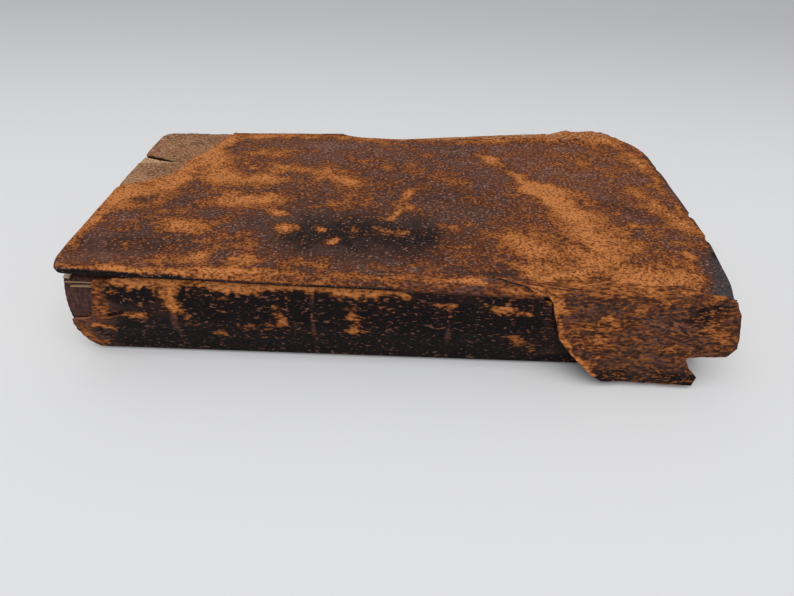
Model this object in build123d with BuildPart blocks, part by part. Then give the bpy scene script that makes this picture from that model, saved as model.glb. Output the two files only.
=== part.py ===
"""Antique book in full leather, closed and lying on its back cover.

X runs along the spine from head to tail, Y from the spine to the fore-edge, Z up.
The origin is the middle of the back cover's underside. Sizes are in millimetres.
"""

import math
import os

from build123d import *

# Covers
cover_length = 215.0
cover_width = 105.0
board_thickness = 2.2
leather_thickness = 0.9
turn_in_thickness = 0.5
turn_in_width = 13.0
edge_bevel = 0.6
paper_thickness = 0.25
pastedown_margin = 4.0

# Clearances between pasted layers, under a loose leaf, and between pieces that move past each other
paste_gap = 0.1
leaf_gap = 0.2
running_gap = 0.3

# Heights of the warped front cover's upper face at its corners
joint_head_height = 35.6
joint_tail_height = 30.8
fore_head_height = 30.4
fore_tail_height = 36.2

# How far the warped cover stands off the pages below the same corners
joint_head_lift = 2.6
joint_tail_lift = 0.3
fore_head_lift = 0.3
fore_tail_lift = 2.2

# Text block
end_square = 1.5
fore_square = 2.5
spine_setback = 0.6
leaf_setback = 1.6
spine_bulge = 3.0
fore_edge_hollow = 1.5
gathering_count = 12
gathering_round = 0.35

# Sewing cords and their slips, which are laced through the boards
cord_count = 4
cord_spacing = 45.5
first_cord_from_head = 32.5
cord_diameter = 2.2
cord_facets = 6
slip_width = 2.9
slip_thickness = 0.7
slip_peg_diameter = 2.6
lacing_hole_inset = 9.0
slip_tail_length = 7.0

# Leather lost from the front cover, and the worn board under it
lost_along_fore_edge = 34.0
lost_along_head = 55.0
lost_inward = 6.5
worn_edge_start = 0.39 * cover_length
worn_edge_length = 0.45 * cover_length
worn_edge_depth = 4.0
worn_corner_radius = 19.0
bare_corner_radius = 4.0
split_from_corner = 21.5
split_length = 16.5
split_width = 1.2
split_slope = 21.0

# Cracked joint and torn ends of the spine leather, measured from the head of the cover
crack_width = 1.8
crack_end = 105.0
tongue_inset = 1.5
head_loss = 7.5
head_loss_foot = 13.0
head_tear_rise = 5.0
tail_tear_top = 154.0
tail_tear_foot = 173.0
tail_tear_sag = 4.0

# Torn flap of spine leather that hangs at the tail, measured from the head of the cover
flap_start = 155.5
flap_thickness = 1.0
flap_gap = 0.5
flap_reach = 11.5
flap_bow = 1.6
flap_foot_height = 0.6
flap_foot_start = 177.0
flap_foot_length = 32.5
flap_tear_sag = 4.0
flap_notch_inset = 5.0
flap_notch_height = 9.0
flap_end_height = 11.5

# Places worked out from the sizes above: v runs from the joint to the fore-edge of a cover,
# and w outwards from the middle of its thickness
cover_thickness = leather_thickness + board_thickness + turn_in_thickness + 2 * paste_gap
cover_half = cover_thickness / 2
half_length = cover_length / 2
half_width = cover_width / 2
joint_y = cover_half - half_width
cover_reach = cover_width - cover_half
leather_inside = cover_half - leather_thickness
turn_in_inside = turn_in_thickness - cover_half
board_outside = leather_inside - paste_gap
board_inside = board_outside - board_thickness
board_middle = (board_outside + board_inside) / 2
board_inset = leather_thickness + paste_gap
board_reach = cover_reach - board_inset
sheet_outside = board_inside - paste_gap
sheet_inside = sheet_outside - paper_thickness
rim_outside = -cover_half - paste_gap
rim_inside = rim_outside - paper_thickness
pages_allowance = cover_half - rim_inside + paper_thickness + leaf_gap
text_bottom = pages_allowance + running_gap
text_reach = cover_reach - fore_square
kerf_width = cord_diameter + 2 * paste_gap
channel_depth = slip_thickness + paste_gap
half_channel = slip_width / 2 + paste_gap

front_heights = (joint_head_height, joint_tail_height, fore_head_height, fore_tail_height)
front_lifts = (joint_head_lift, joint_tail_lift, fore_head_lift, fore_tail_lift)
front_middle = [height - cover_half for height in front_heights]
pages_top = [height - pages_allowance - lift for height, lift in zip(front_heights, front_lifts)]
spine_top = max(pages_top[:2])
spine_half = (sum(pages_top[:2]) / 2 - text_bottom) / 2
fold_height = (spine_top - text_bottom) / gathering_count
cord_places = [first_cord_from_head + cord_spacing * cord - half_length for cord in range(cord_count)]
clear_height = 2 * max(front_heights)


def warped(corners, x, v):
    """Height of a warped sheet at x along the joint and v away from it."""
    joint_head, joint_tail, fore_head, fore_tail = corners
    share = x / cover_length + 0.5
    joint = joint_head + (joint_tail - joint_head) * share
    fore = fore_head + (fore_tail - fore_head) * share
    return joint + (fore - joint) * v / cover_reach


def front_place(x, v, w):
    """Point of the front cover's section at x."""
    return (joint_y + v, warped(front_middle, x, max(v, 0)) + w)


def back_place(x, v, w):
    """Point of the back cover's section, which is the same at each x."""
    return (joint_y + v, cover_half - w)


def pages_place(x, v, w):
    """Point at a height w over the warped top of the text block."""
    return (joint_y + v, warped(pages_top, x, v) + w)


def both_ends(inset):
    """X of the two ends of a layer that stops short of the cover's head and tail."""
    return (inset - half_length, half_length - inset)


def slab(place, x_ends, v_ends, w_ends):
    """End sections of a flat layer that lies along a cover."""
    sections = []
    for x in x_ends:
        with BuildSketch(Plane.YZ.offset(x)) as section:
            with BuildLine():
                Polyline(
                    place(x, v_ends[0], w_ends[0]),
                    place(x, v_ends[1], w_ends[0]),
                    place(x, v_ends[1], w_ends[1]),
                    place(x, v_ends[0], w_ends[1]),
                    close=True,
                )
            make_face()
        sections.append(section.sketch)
    return sections


def envelope(place, x):
    """Outside of a covered board from its joint to its bevelled fore-edge."""
    soft = cover_reach - edge_bevel
    flank = cover_half - edge_bevel
    with BuildSketch(Plane.YZ.offset(x)) as section:
        with BuildLine():
            Polyline(
                place(x, 0, -cover_half),
                place(x, 0, cover_half),
                place(x, soft, cover_half),
                place(x, cover_reach, flank),
                place(x, cover_reach, -flank),
                place(x, soft, -cover_half),
                close=True,
            )
        make_face()
    return section.sketch


def joint_axis(place, inset):
    """Middle line of a cover at its joint, from near its head to near its tail."""
    head, tail = [Vector(x, *place(x, 0, 0)) for x in both_ends(inset)]
    return head, tail - head


def roll(place, inset, radius):
    """Half round of the leather's roll, square to the joint and as high as the cover there."""
    head, run = joint_axis(place, inset)
    square_radius = radius * run.X / run.length
    with BuildSketch(Plane(head, x_dir=(0, 1, 0), z_dir=run)) as section:
        with BuildLine():
            ThreePointArc((0, -square_radius), (-square_radius, 0), (0, square_radius))
            Line((0, square_radius), (0, -square_radius))
        make_face()
    return section.sketch


def board_room(place):
    """Room for the board inside its leather, open towards the roll at the joint."""
    room_v = (0, cover_reach - leather_thickness)
    return slab(place, both_ends(leather_thickness), room_v, (turn_in_inside, leather_inside))


def window(place):
    """What the turned-in leather leaves open on the inside of a cover."""
    return slab(place, both_ends(turn_in_width), (0, cover_reach - turn_in_width), (-cover_thickness, 0))


def sagged(start, end, sag):
    """Arc from start to end whose middle stands off to the left of the way by the sag."""
    run = Vector(*end) - Vector(*start)
    middle = Vector(*start) + run * 0.5 + Vector(-run.Y, run.X).normalized() * sag
    return ThreePointArc(start, middle, end)


def corner_waste(corner_x, corner_y, radius):
    """Plan of what lies outside a rounded corner of the fore-edge."""
    side = math.copysign(1, corner_x)
    centre_x = corner_x - side * radius
    centre_y = corner_y - radius
    turn = radius * math.sqrt(0.5)
    with BuildSketch() as waste:
        with BuildLine():
            ThreePointArc((corner_x, centre_y), (centre_x + side * turn, centre_y + turn), (centre_x, corner_y))
            Polyline(
                (centre_x, corner_y),
                (centre_x, corner_y + radius),
                (corner_x + side * radius, corner_y + radius),
                (corner_x + side * radius, centre_y),
                (corner_x, centre_y),
            )
        make_face()
    return waste.sketch


def lacing_channels(place, x):
    """Channels for a slip, outside the board up to its hole and inside the board from there on."""
    x_ends = (x - half_channel, x + half_channel)
    outer_v = (-paste_gap, lacing_hole_inset + half_channel)
    inner_v = (lacing_hole_inset - half_channel, lacing_hole_inset + slip_tail_length + paste_gap)
    outer = slab(place, x_ends, outer_v, (board_outside - channel_depth, cover_half))
    inner = slab(place, x_ends, inner_v, (-cover_half, board_inside + channel_depth))
    return outer, inner


def lacing_plane(place, x):
    """Plane in the middle of the board where a slip passes through it."""
    y, z = place(x, lacing_hole_inset, board_middle)
    return Plane((x, y, z))


def slip_strips(place, x):
    """Flattened cord outside the board up to its hole, and frayed out inside it from there on."""
    x_ends = (x - slip_width / 2, x + slip_width / 2)
    outer_v = (paste_gap, lacing_hole_inset + slip_width / 2)
    inner_v = (lacing_hole_inset - slip_width / 2, lacing_hole_inset + slip_tail_length)
    outer = slab(place, x_ends, outer_v, (board_outside - slip_thickness, board_outside))
    inner = slab(place, x_ends, inner_v, (board_inside, board_inside + slip_thickness))
    return outer, inner


def pastedown_layers(place):
    """Sheet over the turned-in leather, its sunk middle on the board, and the hollow over that."""
    start = spine_setback + running_gap
    turned = turn_in_width + paste_gap
    sunk = turned + paper_thickness
    rim_v = (start, cover_reach - pastedown_margin)
    rim = slab(place, both_ends(pastedown_margin), rim_v, (rim_inside, rim_outside))
    middle = slab(place, both_ends(turned), (start, cover_reach - turned), (rim_inside, sheet_outside))
    hollow = slab(place, both_ends(sunk), (0, cover_reach - sunk), (-cover_thickness, sheet_inside))
    return rim, middle, hollow


def spine_point(z, outward):
    """Point at height z on the rounded spine of the text block, or outwards from it."""
    radius = (spine_half**2 + spine_bulge**2) / (2 * spine_bulge)
    centre_y = joint_y + spine_setback - spine_bulge + radius
    rise = z - text_bottom - spine_half
    return (centre_y - math.sqrt((radius + outward) ** 2 - rise**2), z)


def fore_point(z):
    """Point at height z on the hollow fore-edge of the text block."""
    radius = (spine_half**2 + fore_edge_hollow**2) / (2 * fore_edge_hollow)
    rise = z - text_bottom - spine_half
    return (joint_y + text_reach - fore_edge_hollow + radius - math.sqrt(radius**2 - rise**2), z)


def cord_path(x, overrun):
    """Line of a sewing cord round the spine, run past the pages at both ends or kept short of them."""
    low = text_bottom - overrun
    high = warped(pages_top, x, spine_setback) + overrun
    with BuildLine(Plane.YZ.offset(x)) as path:
        ThreePointArc(*[spine_point(z, -cord_diameter / 2) for z in (low, (low + high) / 2, high)])
    return path.line


def across_cord(path):
    """Plane across a cord where it starts, with its Y axis out of the spine."""
    return Plane(path @ 0, x_dir=(-1, 0, 0), z_dir=path % 0)


def joint_line(x, drop):
    """Point of the front joint seen from the spine, a drop below the roll of the cover's leather."""
    return (x, warped(front_middle, x, 0) - cover_half - drop)


os.makedirs("parts", exist_ok=True)

# Pages: sewn gatherings glued at the rounded spine, with a sawn kerf for each cord
with BuildPart() as text_block:
    with BuildSketch(Plane.YZ.offset(end_square - half_length)):
        with BuildLine():
            for fold in range(gathering_count):
                low = text_bottom + fold_height * fold
                ThreePointArc(
                    spine_point(low, 0),
                    spine_point(low + fold_height / 2, gathering_round),
                    spine_point(low + fold_height, 0),
                )
            fore_edge = [fore_point(z) for z in (text_bottom, text_bottom + spine_half, max(pages_top))]
            Line(spine_point(spine_top, 0), fore_edge[-1])
            ThreePointArc(*fore_edge)
            Line(fore_edge[0], spine_point(text_bottom, 0))
        make_face()
    extrude(amount=cover_length - 2 * end_square)
    over_pages = slab(pages_place, both_ends(0), (-cover_thickness, cover_width), (0, clear_height))
    loft(over_pages, ruled=True, mode=Mode.SUBTRACT)
    for cord_x in cord_places:
        kerf_path = cord_path(cord_x, cord_diameter)
        with BuildSketch(across_cord(kerf_path)) as kerf:
            with Locations((0, -cord_diameter / 2 - paste_gap)):
                Rectangle(
                    kerf_width,
                    cord_diameter + gathering_round + 2 * paste_gap,
                    align=(Align.CENTER, Align.MIN),
                )
        sweep(kerf.sketch, path=kerf_path, mode=Mode.SUBTRACT)
text_block.part.label = "text_block"
export_step(text_block.part, "parts/text_block.step")

with BuildPart() as front_flyleaf:
    loft(
        slab(
            pages_place,
            both_ends(end_square),
            (leaf_setback, text_reach),
            (leaf_gap, leaf_gap + paper_thickness),
        ),
        ruled=True,
    )
front_flyleaf.part.label = "front_flyleaf"
export_step(front_flyleaf.part, "parts/front_flyleaf.step")

with BuildPart() as back_flyleaf:
    with BuildSketch(Plane.XY.offset(text_bottom - leaf_gap)):
        with Locations((0, joint_y + leaf_setback)):
            Rectangle(
                cover_length - 2 * end_square,
                text_reach - leaf_setback,
                align=(Align.CENTER, Align.MIN),
            )
    extrude(amount=-paper_thickness)
back_flyleaf.part.label = "back_flyleaf"
export_step(back_flyleaf.part, "parts/back_flyleaf.step")

# Sewing cords, sunk in the kerfs
for number, cord_x in enumerate(cord_places, start=1):
    with BuildPart() as sewing_cord:
        laid_path = cord_path(cord_x, -cord_diameter / 2)
        with BuildSketch(across_cord(laid_path)) as strand:
            RegularPolygon(cord_diameter / 2, cord_facets)
        sweep(strand.sketch, path=laid_path)
    sewing_cord.part.label = f"sewing_cord_{number}"
    export_step(sewing_cord.part, f"parts/sewing_cord_{number}.step")

# Front board: a rounded, worn corner at the tail and a bare, split one at the head
with BuildPart() as front_board:
    loft(
        slab(front_place, both_ends(board_inset), (paste_gap, board_reach), (board_inside, board_outside)),
        ruled=True,
    )
    board_y = half_width - board_inset
    tail_waste = corner_waste(half_length - board_inset, board_y, worn_corner_radius - board_inset)
    head_waste = corner_waste(board_inset - half_length, board_y, bare_corner_radius)
    extrude(tail_waste, amount=clear_height, mode=Mode.SUBTRACT)
    extrude(head_waste, amount=clear_height, mode=Mode.SUBTRACT)
    with BuildSketch():
        with BuildLine():
            split_mouth = Vector(-half_length, half_width - split_from_corner)
            split_run = Vector(1, 0).rotate(Axis.Z, -split_slope)
            half_mouth = Vector(0, split_width / 2)
            Polyline(
                split_mouth + half_mouth,
                split_mouth - half_mouth,
                split_mouth + split_run * split_length,
                close=True,
            )
        make_face()
    extrude(amount=clear_height, mode=Mode.SUBTRACT)
    for cord_x in cord_places:
        for channel in lacing_channels(front_place, cord_x):
            loft(channel, ruled=True, mode=Mode.SUBTRACT)
        with Locations(lacing_plane(front_place, cord_x)):
            Cylinder(slip_peg_diameter / 2 + paste_gap, cover_thickness, mode=Mode.SUBTRACT)
front_board.part.label = "front_board"
export_step(front_board.part, "parts/front_board.step")

with BuildPart() as back_board:
    loft(
        slab(back_place, both_ends(board_inset), (paste_gap, board_reach), (board_inside, board_outside)),
        ruled=True,
    )
    for cord_x in cord_places:
        for channel in lacing_channels(back_place, cord_x):
            loft(channel, ruled=True, mode=Mode.SUBTRACT)
        with Locations(lacing_plane(back_place, cord_x)):
            Cylinder(slip_peg_diameter / 2 + paste_gap, cover_thickness, mode=Mode.SUBTRACT)
back_board.part.label = "back_board"
export_step(back_board.part, "parts/back_board.step")

# Cord slips, laced through the boards
for cover_name, place in (("front", front_place), ("back", back_place)):
    for number, cord_x in enumerate(cord_places, start=1):
        with BuildPart() as cord_slip:
            for strip in slip_strips(place, cord_x):
                loft(strip, ruled=True)
            with Locations(lacing_plane(place, cord_x)):
                Cylinder(slip_peg_diameter / 2, board_thickness - slip_thickness)
        cord_slip.part.label = f"{cover_name}_cord_slip_{number}"
        export_step(cord_slip.part, f"parts/{cover_name}_cord_slip_{number}.step")

# Leather of the covers, turned in on three sides and rolled round the edge at the joint
with BuildPart() as front_cover_leather:
    front_run = joint_axis(front_place, -leather_thickness)[1].length
    extrude(roll(front_place, -leather_thickness, cover_half), amount=front_run)
    split(bisect_by=Plane.YZ.offset(-half_length), keep=Keep.TOP)
    split(bisect_by=Plane.YZ.offset(half_length), keep=Keep.BOTTOM)
    loft([envelope(front_place, x) for x in both_ends(0)], ruled=True)
    loft(board_room(front_place), ruled=True, mode=Mode.SUBTRACT)
    front_hollow = joint_axis(front_place, leather_thickness)[1].length
    extrude(roll(front_place, leather_thickness, leather_inside), amount=front_hollow, mode=Mode.SUBTRACT)
    loft(window(front_place), ruled=True, mode=Mode.SUBTRACT)
    with BuildSketch():
        with BuildLine():
            lost_down = (-half_length, half_width - lost_along_head)
            lost_along = (lost_along_fore_edge - half_length, half_width)
            sagged(lost_down, lost_along, -lost_inward)
            Polyline(
                lost_along,
                (lost_along[0], cover_width),
                (-cover_length, cover_width),
                (-cover_length, lost_down[1]),
                lost_down,
            )
        make_face()
        with BuildLine():
            worn_from = (worn_edge_start - half_length, half_width)
            worn_to = (worn_from[0] + worn_edge_length, half_width)
            sagged(worn_from, worn_to, -worn_edge_depth)
            Polyline(worn_to, (worn_to[0], cover_width), (worn_from[0], cover_width), worn_from)
        make_face()
    extrude(amount=clear_height, mode=Mode.SUBTRACT)
    extrude(
        corner_waste(half_length, half_width, worn_corner_radius),
        amount=clear_height,
        mode=Mode.SUBTRACT,
    )
front_cover_leather.part.label = "front_cover_leather"
export_step(front_cover_leather.part, "parts/front_cover_leather.step")

with BuildPart() as back_cover_leather:
    extrude(envelope(back_place, -half_length), amount=cover_length)
    extrude(roll(back_place, 0, cover_half), amount=cover_length)
    loft(board_room(back_place), ruled=True, mode=Mode.SUBTRACT)
    back_hollow = cover_length - 2 * leather_thickness
    extrude(roll(back_place, leather_thickness, leather_inside), amount=back_hollow, mode=Mode.SUBTRACT)
    loft(window(back_place), ruled=True, mode=Mode.SUBTRACT)
back_cover_leather.part.label = "back_cover_leather"
export_step(back_cover_leather.part, "parts/back_cover_leather.step")

# Endpapers pasted over the boards and the turned-in leather
for cover_name, place in (("front", front_place), ("back", back_place)):
    rim, middle, hollow = pastedown_layers(place)
    with BuildPart() as pastedown:
        loft(rim, ruled=True)
        loft(middle, ruled=True)
        loft(hollow, ruled=True, mode=Mode.SUBTRACT)
    pastedown.part.label = f"{cover_name}_pastedown"
    export_step(pastedown.part, f"parts/{cover_name}_pastedown.step")

# Leather left on the spine, torn away at the head and at the tail
with BuildPart() as spine_leather:
    with BuildSketch(Plane.YZ.offset(-half_length)):
        with BuildLine():
            spine_low = cover_thickness + running_gap
            spine_high = max(front_heights[:2]) - cover_thickness
            spine_levels = (spine_low, (spine_low + spine_high) / 2, spine_high)
            inside = [spine_point(z, gathering_round + paste_gap) for z in spine_levels]
            outside = [spine_point(z, gathering_round + paste_gap + leather_thickness) for z in spine_levels]
            ThreePointArc(*inside)
            Line(inside[-1], outside[-1])
            ThreePointArc(*outside)
            Line(outside[0], inside[0])
        make_face()
    extrude(amount=cover_length)
    with BuildSketch(Plane.XZ):
        with BuildLine():
            tongue_foot = (tongue_inset - half_length, 0)
            tongue_top = (tongue_foot[0], head_loss_foot)
            head_tear = (head_loss - half_length, head_loss_foot + head_tear_rise)
            tail_tear = joint_line(tail_tear_top - half_length, running_gap)
            tail_foot = (tail_tear_foot - half_length, 0)
            Line(tongue_foot, tongue_top)
            sagged(tongue_top, head_tear, -head_tear_rise / 4)
            Polyline(
                head_tear,
                joint_line(head_tear[0], running_gap + crack_width),
                joint_line(crack_end - half_length, running_gap),
                tail_tear,
            )
            sagged(tail_tear, tail_foot, -tail_tear_sag)
            Line(tail_foot, tongue_foot)
        make_face()
    extrude(amount=cover_width, mode=Mode.INTERSECT)
spine_leather.part.label = "spine_leather"
export_step(spine_leather.part, "parts/spine_leather.step")

# Flap of spine leather torn loose at the tail, with a ragged side and a notch
with BuildPart() as torn_spine_flap:
    with BuildSketch(Plane.YZ.offset(flap_start - half_length)):
        with BuildLine():
            flap_high = Vector(joint_y - spine_setback, joint_line(flap_start - half_length, flap_gap)[1])
            flap_low = Vector(joint_y - flap_reach, flap_foot_height)
            hang = (flap_low - flap_high).normalized()
            outward = Vector(hang.Y, -hang.X)
            level = Vector(flap_thickness / outward.X, 0)
            bowed = (flap_high + flap_low) * 0.5 + outward * flap_bow
            ThreePointArc(flap_high, bowed, flap_low)
            Line(flap_low, flap_low + level)
            ThreePointArc(flap_low + level, bowed + outward * flap_thickness, flap_high + level)
            Line(flap_high + level, flap_high)
        make_face()
    extrude(amount=cover_length - flap_start)
    with BuildSketch(Plane.XZ):
        with BuildLine():
            flap_top = joint_line(flap_start - half_length, flap_gap)
            flap_foot = (flap_foot_start - half_length, 0)
            flap_corner = (flap_foot[0] + flap_foot_length, 0)
            sagged(flap_top, flap_foot, -flap_tear_sag)
            Polyline(
                flap_foot,
                flap_corner,
                (flap_corner[0] - flap_notch_inset, flap_notch_height),
                (half_length, flap_end_height),
                joint_line(half_length, flap_gap),
                flap_top,
            )
        make_face()
    extrude(amount=cover_width, mode=Mode.INTERSECT)
torn_spine_flap.part.label = "torn_spine_flap"
export_step(torn_spine_flap.part, "parts/torn_spine_flap.step")
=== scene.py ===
"""Dresses the frame of a worn leather book: torn leather, layered boards, pages and endpapers.

Shapes are worked out in millimetres, in the frame's own axes: X from head to tail along the spine,
Y from the spine to the fore-edge, Z up. They become metres when they are written to a mesh.
"""

import math

import bpy
import numpy as np
from mathutils import Matrix, Vector


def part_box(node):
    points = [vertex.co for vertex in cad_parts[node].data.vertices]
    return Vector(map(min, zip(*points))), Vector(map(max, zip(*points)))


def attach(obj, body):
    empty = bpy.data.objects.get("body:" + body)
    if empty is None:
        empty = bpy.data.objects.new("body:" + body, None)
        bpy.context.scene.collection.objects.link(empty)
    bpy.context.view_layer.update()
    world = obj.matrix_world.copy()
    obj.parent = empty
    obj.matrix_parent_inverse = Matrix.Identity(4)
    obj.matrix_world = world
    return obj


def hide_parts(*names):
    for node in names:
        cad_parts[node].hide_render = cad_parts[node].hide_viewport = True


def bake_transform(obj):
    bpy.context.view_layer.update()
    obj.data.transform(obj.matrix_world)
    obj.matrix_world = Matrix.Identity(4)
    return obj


bl_info = {
    "name": "Worn Leather Book",
    "version": (1, 0, 0),
    "blender": (4, 5, 0),
    "location": "View3D > Sidebar > Book",
    "description": "Leather, boards, pages and endpapers of a worn book, and a plain stage for it",
    "category": "Object",
}

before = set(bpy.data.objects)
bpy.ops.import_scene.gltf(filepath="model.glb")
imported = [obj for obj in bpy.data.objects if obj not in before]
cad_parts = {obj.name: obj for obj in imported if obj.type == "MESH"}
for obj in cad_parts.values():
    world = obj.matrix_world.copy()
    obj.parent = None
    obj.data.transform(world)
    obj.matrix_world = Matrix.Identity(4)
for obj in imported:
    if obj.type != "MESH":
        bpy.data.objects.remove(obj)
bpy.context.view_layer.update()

MM = 0.001

# Sizes read from the frame


def node_box(name):
    """Lowest and highest corner of a node of the frame."""
    low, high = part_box(name)
    return np.array(low) / MM, np.array(high) / MM


def cast(node, start, way):
    """Place where a line from start first meets a node of the frame."""
    hit, place, _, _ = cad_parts[node].ray_cast(Vector(start) * MM, Vector(way))
    if not hit:
        raise RuntimeError(f"no surface of {node} lies on the line from {start}")
    return np.array(place) / MM


def measure_warp(node):
    """Four numbers of the warped upper face of a node, for warp_height."""
    places = [cast(node, (x, y, 100), (0, 0, -1)) for x in (-55, 60) for y in (-40, 20)]
    rows = [[1, x, y, x * y] for x, y, _ in places]
    return np.linalg.solve(rows, [z for _, _, z in places])


def measure_spine():
    """Centre and radius of the rounded spine, outside its leather."""
    _, high = node_box("spine_leather")
    places = [cast("spine_leather", (0, -100, share * high[2]), (0, 1, 0)) for share in (0.25, 0.5, 0.75)]
    rows = [[2 * y, 2 * z, 1] for _, y, z in places]
    centre_y, centre_z, rest = np.linalg.solve(rows, [y * y + z * z for _, y, z in places])
    return centre_y, centre_z, math.sqrt(rest + centre_y**2 + centre_z**2)


back_low, back_high = node_box("back_cover_leather")
text_low, text_high = node_box("text_block")
THICK = back_high[2] - back_low[2]
ROLL = THICK / 2
HALF = back_high[0]
FORE = back_high[1]
JOINT = back_low[1] + ROLL
COVER_WARP = measure_warp("front_cover_leather")
PAGES_WARP = measure_warp("text_block")
SPINE_Y, SPINE_Z, SPINE_RADIUS = measure_spine()

# Gaps at the spine: under the front roll, round the back roll, and in from the leather's outside to the pages

TOP_GAP = 0.4
ROLL_GAP = 0.35
PAGES_GAP = 1.45


def warp_height(warp, x, y):
    """Height of a warped face."""
    return warp[0] + warp[1] * x + warp[2] * y + warp[3] * x * y


def cover_middle(x, y):
    """Height of the front cover's middle, level across its roll at the joint."""
    return warp_height(COVER_WARP, x, np.maximum(y, JOINT)) - ROLL


# Outlines and marks: X and Y on the front cover, X and Z on the spine, X and the way down on the flap

BARE_RIM = (
    (-125, -9), (-106, -0.5), (-95.5, 5.5), (-88, 10.5),
    (-85.5, 23.5), (-79.5, 35.5), (-76, 46.5), (-75, 80),
)
BOARD_SPLIT = ((-112, 30.5), (-105, 28), (-90.5, 23))
SPLIT_WEDGE = ((-112, 30), (-91, 23.5), (-112, 20))

# Wear along an edge: pairs of a place and a depth or a lift, and nicks with a place, a depth and a width

FORE_WEAR = ((-27, 0), (-22, 1.8), (-1, 4.2), (21, 2.4), (44, 0.6), (60, 0))
FORE_BARE = (
    (-60, 0), (-29, 0.3), (-24, 2.2), (0, 3.4), (44, 4.6),
    (62, 5.0), (68, 6.6), (88, 6.4), (97, 3.2), (104, 0),
)
FORE_LIFT = ((-15, 0), (20, 0.5), (56, 1.3), (64, 1.5), (72, 3.1), (86, 3.4), (94, 1.5), (99, 0))
TAIL_WEAR = (
    (-50, 1.5), (-44, 0.2), (-20, -0.8), (-5, 0.3), (10, 1.6),
    (20, 2.3), (30, 3.6), (41, 4.6), (52, 4.6),
)
TAIL_NICKS = ((-21, 1.6, 2.2), (-7, 2.2, 1.6), (9, 1.0, 1.5), (24, 1.4, 2.5), (-36, 0.8, 1.2))

BACK_LOSS = ((96, -70), (98.5, -50), (101.5, -44), (105, -41), (125, -39))
BACK_HEAD_LOSS = ((-125, -38), (-106, -40), (-101, -46), (-97.5, -52), (-96, -70))

# Strokes of the worn leather: points, reach and strength

COVER_CREASE = ((45, -47), (55, -43), (66, -38.5), (70.5, -45))
COVER_RUBS = (
    (((-105.5, 1), (-95.5, 6.5), (-88, 12), (-84.5, 23.5), (-79, 35.5), (-75, 48)), 4.5, 0.85),
    (((-86, 22), (-80, 26), (-76, 14), (-70, 10)), 6.5, 0.62),
    (((-105, -8), (-97, -2), (-88, 5)), 6.5, 0.85),
    (((-104, -15), (-96, -9)), 6.0, 0.35),
    (((-106, -40), (-104, -12)), 2.0, 0.36),
    (((-88, 13), (-81, 18), (-77, 28)), 6.0, 0.85),
    (((-90, -51.8), (-60, -50)), 1.1, 0.36),
    (((-60, -50), (-37.5, -50), (30.5, -49.5), (60, -49)), 1.8, 0.55),
    (((-76.5, -47), (-63, -44)), 3.4, 0.55),
    (((-52, -44), (-44, -43.5)), 3.2, 0.36),
    (((-36, -45), (-24, -44.5)), 3.2, 0.36),
    (((-77, 47.5), (-45.5, 49), (-20, 47)), 2.6, 0.5),
    (((-20, 46), (19.5, 44), (60, 47), (92.5, 47)), 2.6, 0.35),
    (((-62, 31), (-50, 32)), 5.0, 0.36),
    (((-60, 20), (-40, 19)), 4.5, 0.42),
    (((-30, 14), (-18, 8)), 5.0, 0.42),
    (((-68, 6), (-52, 9)), 5.0, 0.5),
    (((-66, -8), (-56, -9), (-47, -7)), 5.0, 0.52),
    (((-79, -26), (-66, -25)), 5.0, 0.6),
    (((-64, -34), (-50, -36)), 6.0, 0.16),
    (((-46, -15), (-42, -15.5)), 2.0, 0.6),
    (((-40.5, -25), (-35, -24.5)), 2.0, 0.75),
    (((-29, -24), (-26, -26)), 1.5, 0.75),
    (((-23.5, -32.5), (-21, -30.5)), 1.5, 0.7),
    (((3, 3), (-3.5, -17)), 1.6, 0.62),
    (((-1.5, -6), (7, -9)), 1.4, 0.5),
    (((-8, -24), (2, -25)), 2.0, 0.45),
    (((14.5, -19.5), (18, -20.5)), 2.0, 0.66),
    (((6, 16), (24, 14)), 6.0, 0.2),
    (((32, 34), (38, 27), (48, 13), (55, 3)), 3.2, 0.58),
    (((52, 8), (57, 0), (62, -9)), 5.2, 1.05),
    (((56, 6), (70, 2)), 4.0, 0.45),
    (((60, -7), (66, -18), (72, -30)), 8.0, 0.62),
    (((40, -30), (66, -34)), 8.0, 0.34),
    (((72, -26), (80, -41)), 3.0, 0.52),
    (COVER_CREASE, 1.1, 0.8),
    (((60, -37), (67, -36)), 3.6, 0.62),
    (((43, -43), (53, -40)), 4.5, 0.5),
    (((72, -44), (95, -42)), 6.0, 0.5),
    (((80, 32), (90, 12)), 14.0, 0.06),
    (((90, 8), (102, -12)), 5.0, 0.34),
    (((95.5, 46), (101, 32), (103, 4.5), (106, -20)), 2.4, 0.35),
    (((98, -30), (95, -50)), 2.2, 0.5),
)
COVER_DARKS = (
    (((-30, -27), (6, -25)), 17.0, 0.85),
    (((-50, -22), (-30, -32)), 9.0, 0.45),
    (((-2, 6), (26, -6)), 12.0, 0.4),
    (((18, -28), (34, -34)), 8.0, 0.35),
    (((78, 0), (95, -14)), 6.0, 0.6),
    (((105, -33), (103, -54)), 5.5, 0.6),
    (((63, -44.5), (66, -44)), 2.4, 0.7),
    (((18, -45), (36, -45)), 4.5, 0.55),
    (((-102, -38), (-78, -38)), 11.0, 0.6),
    (((-96, -10), (-80, -14)), 7.0, 0.3),
)
COVER_REDS = (
    (((-70, 34), (-10, 38)), 16.0, 0.55),
    (((62, 34), (92, 0)), 28.0, 1.1),
    (((60, -30), (96, -40)), 18.0, 0.65),
    (((-104, -46), (-80, -46)), 9.0, 0.6),
    (((-103, -16), (-98, -46)), 8.0, 0.6),
)
COVER_GREYS = ((((106, -35), (103.5, -54)), 5.6, 1.6),)
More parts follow.
